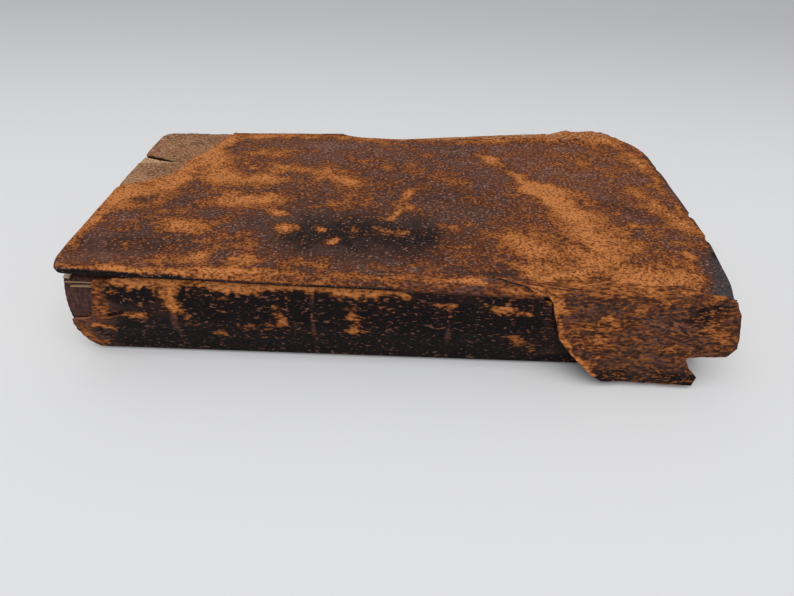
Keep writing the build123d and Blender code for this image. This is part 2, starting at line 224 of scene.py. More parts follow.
SPINE_RUBS = (
    (((-89, 29), (-37, 29), (49.5, 28.5)), 1.7, 0.95),
    (((-78, 27), (-70, 27.5)), 2.2, 0.7),
    (((-96, 25), (-93.5, 17)), 2.6, 0.42),
    (((-88, 17.4), (-80.5, 17)), 1.4, 0.72),
    (((-73, 26), (-71, 20), (-67, 16.5)), 2.6, 0.5),
    (((-37.5, 21), (-35.5, 16.5)), 2.4, 0.6),
    (((-14.5, 21), (-13, 13.6)), 1.9, 0.66),
    (((-59.5, 10.2), (-56.5, 9.5)), 1.6, 0.6),
    (((12, 26), (18, 25)), 1.7, 0.5),
    (((33, 25.5), (42, 24)), 1.9, 0.55),
    (((38, 14), (46, 8)), 2.6, 0.5),
    (((-105, 14), (-103, 7), (-100, 3)), 1.4, 0.4),
    (((-100, 13), (-93, 10.5)), 0.9, 0.6),
    (((-93, 10), (-97.5, 3)), 0.9, 0.36),
)
SPINE_DARKS = (
    (((-90, 25.8), (-79.5, 25.5)), 2.2, 1.0),
    (((-91, 6), (39.5, 6)), 8.0, 0.8),
    (((-98, 0), (60, 0)), 4.0, 0.9),
    (((-66.5, 21.5), (40, 19.5)), 6.0, 0.75),
    (((-98.5, 10), (-96.5, 7)), 2.0, 0.9),
)
HEAD_TEAR = (
    (-95, 60), (-96.2, 30), (-96.6, 24.2), (-98, 17.8), (-99.6, 15.6),
    (-105.8, 14.8), (-106.0, 9), (-104.2, 4.2), (-101.2, 1.6), (-99, -14),
)
TAIL_TEAR = ((48, 60), (48, 30.8), (49.5, 23.2), (51.5, 17), (56, 11.5), (61, 7.8), (71, -14))
HEAD_SLIT = ((-94, 17.2), (-92, 17.8), (-87, 19.2), (-82.5, 20))
FILLETS = (-72.0, -27.0, 17.0)
FLAP_RUBS = (
    (((42, 6), (47.6, 8), (50.2, 14), (52.2, 20.5), (64.8, 35.2)), 0.9, 0.85),
    (((50, 9), (52, 13)), 2.6, 0.6),
    (((55.6, 3.5), (100.8, 5.8)), 3.0, 0.36),
    (((66, 14), (69, 18)), 2.2, 0.5),
    (((98.8, 12.5), (104.4, 16.2), (102.8, 23)), 4.5, 0.24),
    (((55.2, 20.5), (93.2, 25)), 5.0, 0.2),
)
FLAP_DARKS = (
    (((95, 11.6), (96.5, 12)), 1.8, 0.9),
    (((100, 10.2), (102.4, 10.4)), 1.6, 0.9),
    (((92.4, 14), (96, 22)), 3.0, 0.25),
    (((64.8, 36.5), (99.2, 37)), 4.0, 0.6),
)
FLAP_EDGE = (
    (29.6, 0), (41.6, 5.2), (46, 7), (48.4, 10), (49.4, 14.4), (52.2, 22.6), (58.6, 29.5), (64.4, 34.8),
)
CRACK = (*FLAP_EDGE, (69.6, 38.2), (80, 46))
FLAP_OUTLINE = (
    *FLAP_EDGE,
    (68.4, 37.2), (90.4, 37.4), (98.2, 37.2), (99, 34), (95.3, 30.5), (93.4, 26.6),
    (98, 26), (106, 25.4), (108.6, 22), (108.4, 17), (107.8, 11), (105.8, 6.6),
    (102, 4.6), (96, 4.0), (92, 1.5), (88, -3), (29.6, -3),
)

# Loose leaves: head end, tail end, drop under the top of the pages and reach past their spine

LOOSE_LEAVES = ((-106, -96.5, 0.9, 0.7), (-104, -96.2, 2.0, 0.9), (-106.4, -103.4, -0.5, 1.1))

SPECK_GRID = 256
SPECKS = np.random.default_rng(11).random((SPECK_GRID, SPECK_GRID))


def mottle(x, y, size, seed=0):
    """Smooth random field between 0 and 1 with patches of about the given size."""
    u = np.asarray(x, float) / size + 37.7 * seed
    v = np.asarray(y, float) / size + 91.3 * seed
    column = np.floor(u).astype(int)
    row = np.floor(v).astype(int)
    a = ease(0, 1, u - column)
    b = ease(0, 1, v - row)
    left, right = column % SPECK_GRID, (column + 1) % SPECK_GRID
    below, above = row % SPECK_GRID, (row + 1) % SPECK_GRID
    near = SPECKS[left, below] * (1 - a) + SPECKS[right, below] * a
    far = SPECKS[left, above] * (1 - a) + SPECKS[right, above] * a
    return near * (1 - b) + far * b


def cloud(x, y, size, seed=0, layers=4):
    """Rough random field between about -0.5 and 0.5, with finer patches in coarser ones."""
    weights = [0.55**layer for layer in range(layers)]
    fields = [mottle(x, y, size / 2**layer, seed + 5 * layer) * weights[layer] for layer in range(layers)]
    return sum(fields) / sum(weights) - 0.5


def ease(low, high, value):
    """Smooth rise from 0 at low to 1 at high."""
    share = np.clip((value - low) / (high - low), 0, 1)
    return share * share * (3 - 2 * share)


def bell(value, width):
    """Smooth fall on both sides from 1 where a value is 0."""
    return np.exp(-((value / width) ** 2))


def read_off(table, at):
    """Value of a table of pairs at each place, straight between the pairs."""
    return np.interp(at, *np.array(table).T)


def line_distance(points, x, y):
    """Distance to a broken line, and which side of it: positive on the left of its way."""
    best = np.full(np.shape(x), np.inf)
    side = np.ones(np.shape(x))
    for (ax, ay), (bx, by) in zip(points, points[1:]):
        run_x, run_y = bx - ax, by - ay
        share = np.clip(((x - ax) * run_x + (y - ay) * run_y) / (run_x**2 + run_y**2), 0, 1)
        away = np.hypot(x - ax - share * run_x, y - ay - share * run_y)
        turn = np.sign(run_x * (y - ay) - run_y * (x - ax))
        side = np.where(away < best, turn, side)
        best = np.minimum(best, away)
    return best, side


def beyond(points, x, y):
    """Signed distance to a broken line, positive on the left of its way."""
    away, side = line_distance(points, x, y)
    return away * side


def back_kept(x, y):
    """Signed distance to the back cover's two losses, positive where its leather has lasted."""
    return np.minimum(beyond(BACK_LOSS, x, y), beyond(BACK_HEAD_LOSS, x, y))


def bared(x, y):
    """Share of the front board that shows where its leather is lost."""
    return ease(-4, 6, beyond(BARE_RIM, x, y))


def inside_polygon(points, x, y):
    """Signed distance to a polygon, positive inside it."""
    closed = list(points) + [points[0]]
    away, _ = line_distance(closed, x, y)
    within = np.zeros(np.shape(x), bool)
    for (ax, ay), (bx, by) in zip(closed, closed[1:]):
        if ay != by:
            crosses = ((ay > y) != (by > y)) & (x < (bx - ax) * (y - ay) / (by - ay) + ax)
            within ^= crosses
    return np.where(within, away, -away)


def marks(strokes, x, y):
    """Strength of soft strokes at each point."""
    total = np.zeros(np.shape(x))
    stray_x = x + 3.6 * cloud(x, y, 5, 71, 3)
    stray_y = y + 3.0 * cloud(x, y, 5, 72, 3)
    for points, reach, strength in strokes:
        away, _ = line_distance(points, stray_x, stray_y)
        total = np.maximum(total, strength * bell(away, reach))
    return total


# Sheets: a grid is laid flat, cut along a ragged line, put in shape and thickened

MERGE_GAP = 0.03
SLIVER_GAP = 0.01
SEAM_GAP = 0.002
EDGE_PULLS = 4
LEAST_SLOPE = 0.05
THIN_SHARE = 0.5
BOX_COLUMNS = 150
BOX_ROWS = 75
BOX_SPACING = 1.4
FLOOR_GAP = 0.02


def begin(piece):
    """Makes a piece the only one selected."""
    bpy.ops.object.select_all(action="DESELECT")
    piece.select_set(True)
    bpy.context.view_layer.objects.active = piece


def edit(piece, *steps):
    """Takes these steps with all of a piece selected, each a mesh operator with its settings."""
    begin(piece)
    bpy.ops.object.mode_set(mode="EDIT")
    bpy.ops.mesh.select_all(action="SELECT")
    for step, settings in steps:
        step(**settings)
    bpy.ops.object.mode_set(mode="OBJECT")


def get_points(piece):
    """Vertices of a piece, in millimetres."""
    flat = np.empty(3 * len(piece.data.vertices))
    piece.data.vertices.foreach_get("co", flat)
    return flat.reshape(-1, 3) / MM


def set_points(piece, *axes):
    """Puts the vertices of a piece at these places, in millimetres."""
    points = np.stack([np.asarray(axis, float) for axis in axes], axis=1) * MM
    piece.data.vertices.foreach_set("co", points.ravel())
    piece.data.update()


def raise_to(piece, lowest):
    """Raises the vertices of a piece that lie under a height."""
    points = get_points(piece)
    set_points(piece, points[:, 0], points[:, 1], np.maximum(points[:, 2], lowest))


def grid_lines(*runs):
    """Places of grid lines in runs, each with its first and last place and its number of lines."""
    return np.concatenate([np.linspace(*run) for run in runs])


def even_lines(first, last, spacing):
    """Places of grid lines at an even spacing."""
    return np.linspace(first, last, int((last - first) / spacing))


def lay_sheet(name, columns, rows):
    """Flat grid whose lines run at these places."""
    bpy.ops.object.select_all(action="DESELECT")
    bpy.ops.mesh.primitive_grid_add(x_subdivisions=len(columns) - 1, y_subdivisions=len(rows) - 1, size=1)
    piece = bpy.context.object
    piece.name = name
    piece.data.name = name
    start = get_points(piece) * MM + 0.5
    x = np.interp(start[:, 0], np.linspace(0, 1, len(columns)), columns)
    y = np.interp(start[:, 1], np.linspace(0, 1, len(rows)), rows)
    set_points(piece, x, y, np.zeros(len(x)))
    return piece


def lay_over_box(name, low, high):
    """Flat grid over the box of a node."""
    return lay_sheet(name, np.linspace(low[0], high[0], BOX_COLUMNS), np.linspace(low[1], high[1], BOX_ROWS))


def cut_sheet(piece, waste, reach):
    """Cuts away a flat sheet where waste is positive, and draws its edge onto the line where it is zero."""
    points = get_points(piece)
    outside = waste(points[:, 0], points[:, 1]) > 0
    corners = np.empty(len(piece.data.loops), int)
    piece.data.loops.foreach_get("vertex_index", corners)
    lost = outside[corners.reshape(-1, 4)].all(axis=1)
    if lost.any():
        begin(piece)
        bpy.ops.object.mode_set(mode="EDIT")
        bpy.ops.mesh.select_mode(type="FACE")
        bpy.ops.object.mode_set(mode="OBJECT")
        piece.data.polygons.foreach_set("select", lost)
        bpy.ops.object.mode_set(mode="EDIT")
        bpy.ops.mesh.delete(type="FACE")
        bpy.ops.object.mode_set(mode="OBJECT")
    points = get_points(piece)
    x, y = points[:, 0].copy(), points[:, 1].copy()
    edge = waste(x, y) > 0
    step = reach / 20
    for _ in range(EDGE_PULLS):
        value = waste(x[edge], y[edge])
        slope_x = (waste(x[edge] + step, y[edge]) - value) / step
        slope_y = (waste(x[edge], y[edge] + step) - value) / step
        pull = value / np.maximum(slope_x**2 + slope_y**2, LEAST_SLOPE)
        x[edge] -= np.clip(pull * slope_x, -reach / 2, reach / 2)
        y[edge] -= np.clip(pull * slope_y, -reach / 2, reach / 2)
    set_points(piece, x, y, np.zeros(len(x)))
    edit(
        piece,
        (bpy.ops.mesh.remove_doubles, {"threshold": MERGE_GAP * MM}),
        (bpy.ops.mesh.dissolve_degenerate, {"threshold": SLIVER_GAP * MM}),
    )
    points = get_points(piece)
    return points[:, 0], points[:, 1]


def write_field(piece, name, values):
    """Keeps a number for each vertex, for the finish to read."""
    field = piece.data.attributes.new(name, "FLOAT", "POINT")
    spread = np.zeros(len(piece.data.vertices), np.float32) + values
    field.data.foreach_set("value", np.asarray(spread, np.float32))


def finish_sheet(piece, depth, finishes, thin=None, angle=60):
    """Gives a sheet its thickness, inwards from the face that is modelled, and its finishes."""
    for finish in finishes:
        piece.data.materials.append(finish)
    begin(piece)
    bpy.ops.object.modifier_add(type="SOLIDIFY")
    wall = piece.modifiers[-1]
    wall.thickness = depth * MM
    wall.offset = -1
    wall.use_rim = True
    wall.material_offset = len(finishes) - 1
    wall.material_offset_rim = len(finishes) - 1
    if thin is not None:
        group = piece.vertex_groups.new(name="thickness")
        for chosen, share in ((~thin, 1.0), (thin, THIN_SHARE)):
            group.add([int(index) for index in np.nonzero(chosen)[0]], share, "REPLACE")
        wall.vertex_group = group.name
    bpy.ops.object.modifier_apply(modifier=wall.name)
    bpy.ops.object.shade_smooth_by_angle(angle=math.radians(angle))


# Leather laid over a cover: flat, round the edge, down the wall, round again and in on the other side


def edge_distance(x, y, head_radius, tail_radius):
    """Signed distance to the head, tail and fore-edge of a cover, and the way out of it."""
    end = np.abs(x) - HALF
    fore = y - FORE
    away = np.maximum(end, fore)
    out_x = np.where(end > fore, np.sign(x), 0.0)
    out_y = np.where(end > fore, 0.0, 1.0)
    for sign, radius in ((-1, head_radius), (1, tail_radius)):
        from_x = x - sign * (HALF - radius)
        from_y = y - (FORE - radius)
        corner = (sign * from_x > 0) & (from_y > 0)
        far = np.maximum(np.hypot(from_x, from_y), 1e-6)
        away = np.where(corner, far - radius, away)
        out_x = np.where(corner, from_x / far, out_x)
        out_y = np.where(corner, from_y / far, out_y)
    return away, out_x, out_y


def edge_profile(way, radius):
    """Inset from the edge and height over a cover's middle, at a way past the start of the upper round."""
    arc = radius * math.pi / 2
    wall = THICK - 2 * radius
    upper = np.clip(way, 0, arc) / radius
    lower = np.clip(way - arc - wall, 0, arc) / radius
    inset = radius - radius * np.sin(upper) + radius - radius * np.cos(lower)
    inset = inset + np.maximum(-way, 0) + np.maximum(way - 2 * arc - wall, 0)
    height = ROLL - radius + radius * np.cos(upper) - np.clip(way - arc, 0, wall) - radius * np.sin(lower)
    return inset, height


def fold_over(p, q, radii, soft):
    """Where a point of the unfolded leather comes to lie: x, y, height over the middle, way past the edge."""
    away, out_x, out_y = edge_distance(p, q, *radii)
    radius = soft + (ROLL - soft) * ease(JOINT + 12, JOINT, q)
    way = away + radius
    inset, height = edge_profile(way, radius)
    x = p - (away + inset) * out_x
    y = q - (away + inset) * out_y
    turn = (JOINT - q) / ROLL
    dome = np.sqrt(np.clip(1 - (np.maximum(np.abs(p) - HALF + ROLL, 0) / ROLL) ** 2, 0.0004, 1))
    rolled = turn > 0.001
    x = np.where(rolled, p, x)
    y = np.where(rolled, JOINT - ROLL * dome * np.sin(np.clip(turn, 0, math.pi)), y)
    y = np.where(turn > math.pi, JOINT + ROLL * (turn - math.pi), y)
    height = np.where(rolled, ROLL * dome * np.cos(np.clip(turn, 0, math.pi)), height)
    return x, y, height, np.where(rolled, -1.0, way)


def cover_leather_grid(name, spacing, turn_in, under):
    """Flat grid for the leather of a cover, with room for its turned-in edges and its roll."""
    spare = THICK + turn_in
    lowest = JOINT - math.pi * ROLL - under
    columns = even_lines(-HALF - spare, HALF + spare, spacing)
    return lay_sheet(name, columns, even_lines(lowest, FORE + spare, spacing))


def outside_roll(p, q):
    """Positive past the ends of the roll at the joint, where the leather has no turned-in edge."""
    return np.minimum(np.abs(p) - HALF + 0.02, JOINT - q)


def outside_mitre(p, q, radii, soft):
    """Positive where a turned-in edge would lie over the one round the corner."""
    away, out_x, out_y = edge_distance(p, q, *radii)
    inset, _ = edge_profile(away + soft, soft)
    from_end = HALF - np.abs(p)
    from_fore = FORE - q
    other = np.where(np.abs(out_x) > np.abs(out_y), from_fore, from_end)
    corner = (np.abs(out_x) > 0.01) & (np.abs(out_y) > 0.01)
    room = np.where(corner, min(radii) * 0.8, other)
    return np.where(away > THICK / 2, inset - np.maximum(room, 0), -1.0)


def on_top(way):
    """1 on the flat of a cover, falling to 0 past the start of its round edge."""
    return ease(1.5, -1.0, way)


def edge_wear(way):
    """Strength of the wear on the two edges of a cover's wall."""
    return bell(np.minimum(np.abs(way - 1.0), np.abs(way - 3.6)), 1.2)


def worn_outline(x, y):
    """X and lift of a point of the front cover, drawn in at its worn tail and raised where it frays."""
    inward = read_off(TAIL_WEAR, y) * ease(70, 104, x)
    inward = inward - 1.8 * ease(-46, -55, y) * ease(-98, -107, x)
    lift = read_off(FORE_LIFT, x) * ease(FORE - 12, FORE - 2, y)
    return x - inward, lift * (0.75 + 0.4 * mottle(x, y, 4, 9))


def length_setting(name, description, default):
    """Setting for a length in metres."""
    return bpy.props.FloatProperty(name=name, description=description, default=default, unit="LENGTH")


def count_setting(name, description, default, least):
    """Setting for a number of things."""
    return bpy.props.IntProperty(name=name, description=description, default=default, min=least)


def colour_setting(name, description, default):
    """Setting for a colour."""
    return bpy.props.FloatVectorProperty(
        name=name, description=description, default=default, subtype="COLOR", size=3
    )


class BookShape(bpy.types.PropertyGroup):
    """Sizes of the book's soft and worn pieces."""

    leather: length_setting("Leather", "Thickness of the covering leather", 0.0009)
    leather_grid: length_setting("Leather grid", "Spacing of the covering leather's grid", 0.00105)
    torn_grid: length_setting("Torn grid", "Spacing of the grid on the spine and the flap", 0.0006)
    edge_round: length_setting("Edge round", "Radius of the leather over a board's edge", 0.0012)
    turn_in: length_setting("Turn-in", "Width of the leather turned in under a cover", 0.012)
    worn_corner: length_setting("Worn corner", "Radius of the front cover's worn tail corner", 0.019)
    square_corner: length_setting("Square corner", "Radius of an unworn corner", 0.003)
    cockle: length_setting("Cockle", "Height of the slow waves in the covering leather", 0.0007)
    wrinkle: length_setting("Wrinkle", "Height of the wrinkles along the flap", 0.0006)
    leaf_layers: count_setting("Leaf layers", "Number of leaves modelled on the edges of the pages", 120, 24)
    gatherings: count_setting("Gatherings", "Number of folded gatherings sewn in the spine", 12, 2)
    paper: length_setting("Paper", "Thickness of the endpapers", 0.00025)


class BookFinish(bpy.types.PropertyGroup):
    """Colours of the book and of its stage."""

    leather_dark: colour_setting("Leather", "Dark leather", (0.090, 0.045, 0.033))
    # Darkest leather colour: the leather's own dark, and also the painted shade on the front roll's lower
    # half and along the joint crack.
    leather_black_and_shade: colour_setting("Blackened", "Blackened leather", (0.0048, 0.0038, 0.0045))
    leather_red: colour_setting("Reddened", "Decayed red leather", (0.195, 0.080, 0.054))
    leather_fleck: colour_setting("Flecks", "Pale flecks in dark leather", (0.340, 0.170, 0.115))
    leather_grey: colour_setting("Greyed", "Leather scuffed to a dull grey", (0.062, 0.054, 0.055))
    leather_rubbed: colour_setting("Rubbed", "Rubbed leather", (0.325, 0.106, 0.027))
    leather_bright: colour_setting("Bright", "Leather rubbed to its core", (0.540, 0.194, 0.058))
    leather_warm: colour_setting("Warm", "Dark leather beside the rubs", (0.115, 0.032, 0.012))
    leather_deep: colour_setting("Hollows", "Hollows of the grain in rubbed leather", (0.066, 0.018, 0.007))
    board: colour_setting("Board", "Bare pasteboard", (0.320, 0.155, 0.080))
    board_pale: colour_setting("Fresh board", "Freshly split pasteboard", (0.480, 0.300, 0.165))
    paper: colour_setting("Paper", "Old rag paper", (0.60, 0.47, 0.31))
    hemp: colour_setting("Hemp", "Sewing cord", (0.36, 0.26, 0.15))
    glue: colour_setting("Glue", "Glued and browned folds at the spine", (0.072, 0.031, 0.027))
    # Also the colour the floor is painted towards behind and far from the book, as painted shade of the
    # falling light. The camera sees it as the plain room tone.
    backdrop: colour_setting("Backdrop", "Floor and room far from the book", (0.50, 0.50, 0.51))
    floor: colour_setting("Floor", "Pale floor and backdrop", (0.705, 0.706, 0.716))


FINISHES = {}


def once(make):
    """Makes each finish once, and gives it again when it is asked for again."""

    def kept(*words):
        key = (make.__name__, *words)
        if key not in FINISHES:
            FINISHES[key] = make(*words)
        return FINISHES[key]

    return kept


class Finish:
    """A material whose nodes are added one after another."""

    def __init__(self, name):
        self.material = bpy.data.materials.new(name)
        self.material.use_nodes = True
        self.tree = self.material.node_tree
        self.shader = self.tree.nodes["Principled BSDF"]
        self.place = self.node("ShaderNodeTexCoord").outputs["Object"]

    def put(self, socket, value):
        """Links a socket, or sets its value."""
        if isinstance(value, bpy.types.NodeSocket):
            self.tree.links.new(value, socket)
        elif hasattr(socket.default_value, "__len__") and len(socket.default_value) == 4:
            socket.default_value = (*value, 1.0)
        else:
            socket.default_value = value

    def node(self, kind, inputs=(), **settings):
        """Adds a node with these settings and inputs."""
        node = self.tree.nodes.new(kind)
        for name, value in settings.items():
            setattr(node, name, value)
        for name, value in dict(inputs).items():
            self.put(node.inputs[name], value)
        return node

    def field(self, name):
        """Number that a piece keeps for each of its vertices."""
        return self.node("ShaderNodeAttribute", attribute_name=name).outputs["Fac"]

    def stretched(self, x, y, z):
        """Coordinates stretched along the axes."""
        node = self.node("ShaderNodeMapping", {"Vector": self.place, "Scale": (x, y, z)})
        return node.outputs["Vector"]

    def noise(self, size, detail=4, roughness=0.55, place=None, distortion=0.0):
        """Random field with patches of about the given size in millimetres."""
        inputs = {
            "Vector": place or self.place,
            "Scale": 1 / (size * MM),
            "Detail": detail,
            "Roughness": roughness,
            "Distortion": distortion,
        }
        return self.node("ShaderNodeTexNoise", inputs).outputs[0]

    def cells(self, size, place):
        """Distance to the edge in a field of cells of about the given size in millimetres."""
        inputs = {"Vector": place, "Scale": 1 / (size * MM)}
        return self.node("ShaderNodeTexVoronoi", inputs, feature="DISTANCE_TO_EDGE").outputs["Distance"]

    def strayed(self, place, size, reach):
        """Coordinates that stray by up to the given reach in millimetres."""
        stray = self.node("ShaderNodeTexNoise", {"Vector": place, "Scale": 1 / (size * MM)}).outputs["Color"]
        inputs = {0: stray, 1: (reach * MM,) * 3, 2: place}
        return self.node("ShaderNodeVectorMath", inputs, operation="MULTIPLY_ADD").outputs["Vector"]

    def veins(self, size, place, width):
        """Thin branching lines in a field with patches of about the given size."""
        away = self.math("ABSOLUTE", self.math("SUBTRACT", self.noise(size, 3, 0.6, place), 0.5))
        return self.rise(away, 0.0, width, 1.0, 0.0)

    def math(self, operation, first, second=0.0):
        """Result of one sum."""
        node = self.node("ShaderNodeMath", operation=operation)
        self.put(node.inputs[0], first)
        self.put(node.inputs[1], second)
        return node.outputs[0]

    def add(self, *terms):
        """Sum of fields, each with its weight."""
        total = 0.0
        for value, weight in terms:
            total = self.math("ADD", total, self.math("MULTIPLY", value, weight))
        return total

    def rise(self, value, low, high, start=0.0, end=1.0):
        """Smooth step from start to end while a value goes from low to high."""
        inputs = {"Value": value, "From Min": low, "From Max": high, "To Min": start, "To Max": end}
        return self.node("ShaderNodeMapRange", inputs, interpolation_type="SMOOTHSTEP").outputs[0]

    def mix(self, share, first, second):
        """Mixture of two colours."""
        node = self.node("ShaderNodeMix", data_type="RGBA")
        self.put(node.inputs[0], share)
        self.put(node.inputs[6], first)
        self.put(node.inputs[7], second)
        return node.outputs[2]

    def bump(self, *layers):
        """Normal of a surface with these heights, each with its depth in millimetres."""
        normal = None
        for height, depth in layers:
            inputs = {"Height": height, "Distance": depth * MM, "Strength": 1.0}
            if normal is not None:
                inputs["Normal"] = normal
            normal = self.node("ShaderNodeBump", inputs).outputs["Normal"]
        return normal

    def done(self, colour, roughness, normal, **sockets):
        """Joins the nodes to the shader."""
        self.put(self.shader.inputs["Base Color"], colour)
        self.put(self.shader.inputs["Roughness"], roughness)
        self.put(self.shader.inputs["Normal"], normal)
        for name, value in sockets.items():
            self.put(self.shader.inputs[name.replace("_", " ")], value)
        return self.material


def scaled(share, colour):
    """A colour made darker or paler."""
    return tuple(share * part for part in colour)


def tinted(colour, tint):
    """A colour seen through a tint."""
    return tuple(part * shade for part, shade in zip(colour, tint))


def leather_finish(name, along, veined, fleck):
    """Leather that is dark where it lasted, and rubbed to orange in specks and veins drawn out along X."""
    look = bpy.context.scene.book_finish
    finish = Finish(name)
    rubbed = finish.field("rubbed")
    black_and_shade = finish.field("black_and_shade")
    red = finish.field("red")
    drawn = finish.stretched(along, 1.0, 1.0)
    grain = finish.noise(0.7, 0.6, 0.45, drawn, 0.4)
    middle = finish.noise(3.2, 6, 0.66, drawn, 0.5)
    broad = finish.noise(12.0, 5, 0.6)
    veins = finish.veins(1.5, finish.stretched(0.4 * along, 1.0, 1.0), 0.05)
    furrow = finish.cells(1.0, finish.strayed(drawn, 1.2, 1.4))
    level = finish.add((grain, 0.65), (middle, 0.95), (broad, 0.45), (rubbed, 0.85), (veins, 0.5 * veined))
    worn = finish.rise(level, 1.20, 1.52)
    core = finish.rise(level, 1.44, 1.80)
    hollows = finish.rise(grain, 0.50, 0.34)
    tone = finish.add((middle, 1.0), (grain, 0.7), (broad, 0.7))
    reddened = finish.rise(finish.add((tone, 1.0), (red, 0.6)), 1.05, 1.75)
    # This share mixes towards the darkest colour. It carries the leather's own dark and, on the front roll
    # and the joint crack, painted shade.
    blackening_and_shade = finish.rise(finish.add((black_and_shade, 0.9), (tone, 0.9)), 1.25, 1.95)
    dark = finish.mix(reddened, look.leather_dark, look.leather_red)
    warmed = finish.rise(level, 0.98, 1.28)
    dark = finish.mix(warmed, dark, look.leather_warm)
    dark = finish.mix(blackening_and_shade, dark, look.leather_black_and_shade)
    dark = finish.mix(finish.rise(red, -0.3, -1.0, 0.0, 0.85), dark, look.leather_grey)
    pits = finish.mix(warmed, look.leather_black_and_shade, scaled(0.4, look.leather_deep))
    dark = finish.mix(finish.math("MULTIPLY", hollows, 0.55 + 0.5 * veined), dark, pits)
    pale = finish.add((grain, 1.0), (black_and_shade, 0.14 * veined - 0.085), (red, 0.02), (veins, 0.4 * veined))
    paled = finish.rise(pale, 0.57, 0.69, 0.0, 0.75)
    dark = finish.mix(paled, dark, fleck)
    bright = finish.mix(core, look.leather_rubbed, look.leather_bright)
    bright = finish.mix(finish.math("MULTIPLY", hollows, 0.62), bright, look.leather_deep)
    colour = finish.mix(worn, dark, bright)
    furrows = finish.rise(furrow, 0.0, 0.12, 0.4, 0.0)
    colour = finish.mix(furrows, colour, scaled(0.3, look.leather_dark))
    roughness = finish.rise(worn, 0.0, 1.0, 0.55, 0.85)
    normal = finish.bump((furrow, 0.12), (grain, 0.22), (worn, -0.08))
    return finish.done(colour, roughness, normal, Specular_IOR_Level=0.06)


@once
def cover_leather_finish():
    """Leather of the covers, with pale flecks."""
    return leather_finish("worn_cover_leather", 0.75, 0.0, bpy.context.scene.book_finish.leather_fleck)


@once
def spine_leather_finish():
    """Leather of the spine, with red dashes along it."""
    return leather_finish("worn_spine_leather", 0.45, 0.18, bpy.context.scene.book_finish.leather_red)


@once
def flap_leather_finish():
    """Leather of the flap, with many fine wrinkles along it."""
    fleck = scaled(0.82, bpy.context.scene.book_finish.leather_rubbed)
    return leather_finish("worn_flap_leather", 0.42, 0.4, fleck)


@once
def torn_finish():
    """Fibrous core of the leather on its torn edges and its inner side."""
    look = bpy.context.scene.book_finish
    finish = Finish("torn_leather")
    fibres = finish.noise(0.6, 6, 0.7, finish.stretched(0.35, 1.0, 1.0))
    patches = finish.noise(4.0, 5, 0.6)
    share = finish.rise(finish.add((fibres, 0.8), (patches, 0.6)), 0.5, 0.95)
    colour = finish.mix(share, look.leather_red, look.leather_rubbed)
    return finish.done(colour, 0.9, finish.bump((fibres, 0.25)), Specular_IOR_Level=0.2)


@once
def board_finish():
    """Grey-brown pasteboard, paler where it split."""
    look = bpy.context.scene.book_finish
    finish = Finish("pasteboard")
    fibres = finish.noise(0.9, 7, 0.7)
    patches = finish.noise(7.0, 6, 0.62)
    layers = finish.noise(0.55, 4, 0.6, finish.stretched(0.06, 0.06, 1.0))
    stained = finish.rise(finish.add((patches, 1.0), (fibres, 0.7)), 0.65, 1.05)
    colour = finish.mix(stained, look.board, scaled(0.45, look.board))
    colour = finish.mix(finish.rise(layers, 0.5, 0.75, 0.0, 0.5), colour, look.board_pale)
    colour = finish.mix(finish.math("MULTIPLY", finish.field("pale"), 0.9), colour, look.board_pale)
    rubbed = finish.add((finish.field("rubbed"), 1.0), (fibres, 0.9), (patches, 0.6))
    colour = finish.mix(finish.rise(rubbed, 1.1, 1.5), colour, look.leather_rubbed)
    grain = finish.noise(0.75, 0.8, 0.45, finish.stretched(0.8, 1.0, 1.0))
    colour = finish.mix(finish.rise(grain, 0.48, 0.34, 0.0, 0.75), colour, scaled(2.2, look.leather_deep))
    colour = finish.mix(finish.rise(grain, 0.55, 0.67, 0.0, 0.6), colour, look.board_pale)
    # Painted shade: the board is painted near-dark along the split, where the slit between its layers lies in
    # shade.
    colour = finish.mix(finish.field("painted_shade"), colour, scaled(0.06, look.board))
    normal = finish.bump((fibres, 0.2), (grain, 0.12), (layers, 0.15))
    return finish.done(colour, 0.92, normal, Specular_IOR_Level=0.1)


@once
def paper_finish(name, tint):
    """Old paper with foxing and browned patches."""
    look = bpy.context.scene.book_finish
    finish = Finish(name)
    fibres = finish.noise(0.5, 5, 0.6)
    patches = finish.noise(26.0, 6, 0.6)
    spots = finish.rise(finish.noise(5.0, 3, 0.5), 0.66, 0.76)
    paper = tinted(look.paper, tint)
    browned = tinted(paper, (0.62, 0.5, 0.4))
    colour = finish.mix(finish.rise(patches, 0.45, 0.75, 0.0, 0.8), paper, browned)
    colour = finish.mix(finish.math("MULTIPLY", spots, 0.55), colour, browned)
    return finish.done(colour, 0.88, finish.bump((fibres, 0.05), (patches, 0.3)), Specular_IOR_Level=0.2)


@once
def page_finish():
    """Edges of the pages: pale leaves with brown dust between them, dark with glue at the spine."""
    look = bpy.context.scene.book_finish
    finish = Finish("page_edges")
    leaves = finish.noise(0.32, 3, 0.6, finish.stretched(0.012, 0.012, 1.0))
    patches = finish.noise(14.0, 6, 0.62)
    glued = finish.field("glued")
    browned = tinted(look.paper, (0.5, 0.4, 0.3))
    dusty = finish.rise(finish.add((leaves, 0.8), (patches, 0.5)), 0.45, 0.95)
    colour = finish.mix(dusty, look.paper, browned)
    stain = finish.rise(finish.add((glued, 1.0), (finish.noise(2.0, 5, 0.6), 0.5)), 0.6, 1.0)
    threads = finish.noise(0.9, 4, 0.65, finish.stretched(1.0, 1.0, 0.15))
    folds = finish.mix(finish.rise(threads, 0.35, 0.7), scaled(0.5, look.glue), scaled(1.5, look.glue))
    colour = finish.mix(stain, colour, folds)
    return finish.done(colour, 0.9, finish.bump((leaves, 0.12), (threads, 0.1)), Specular_IOR_Level=0.15)


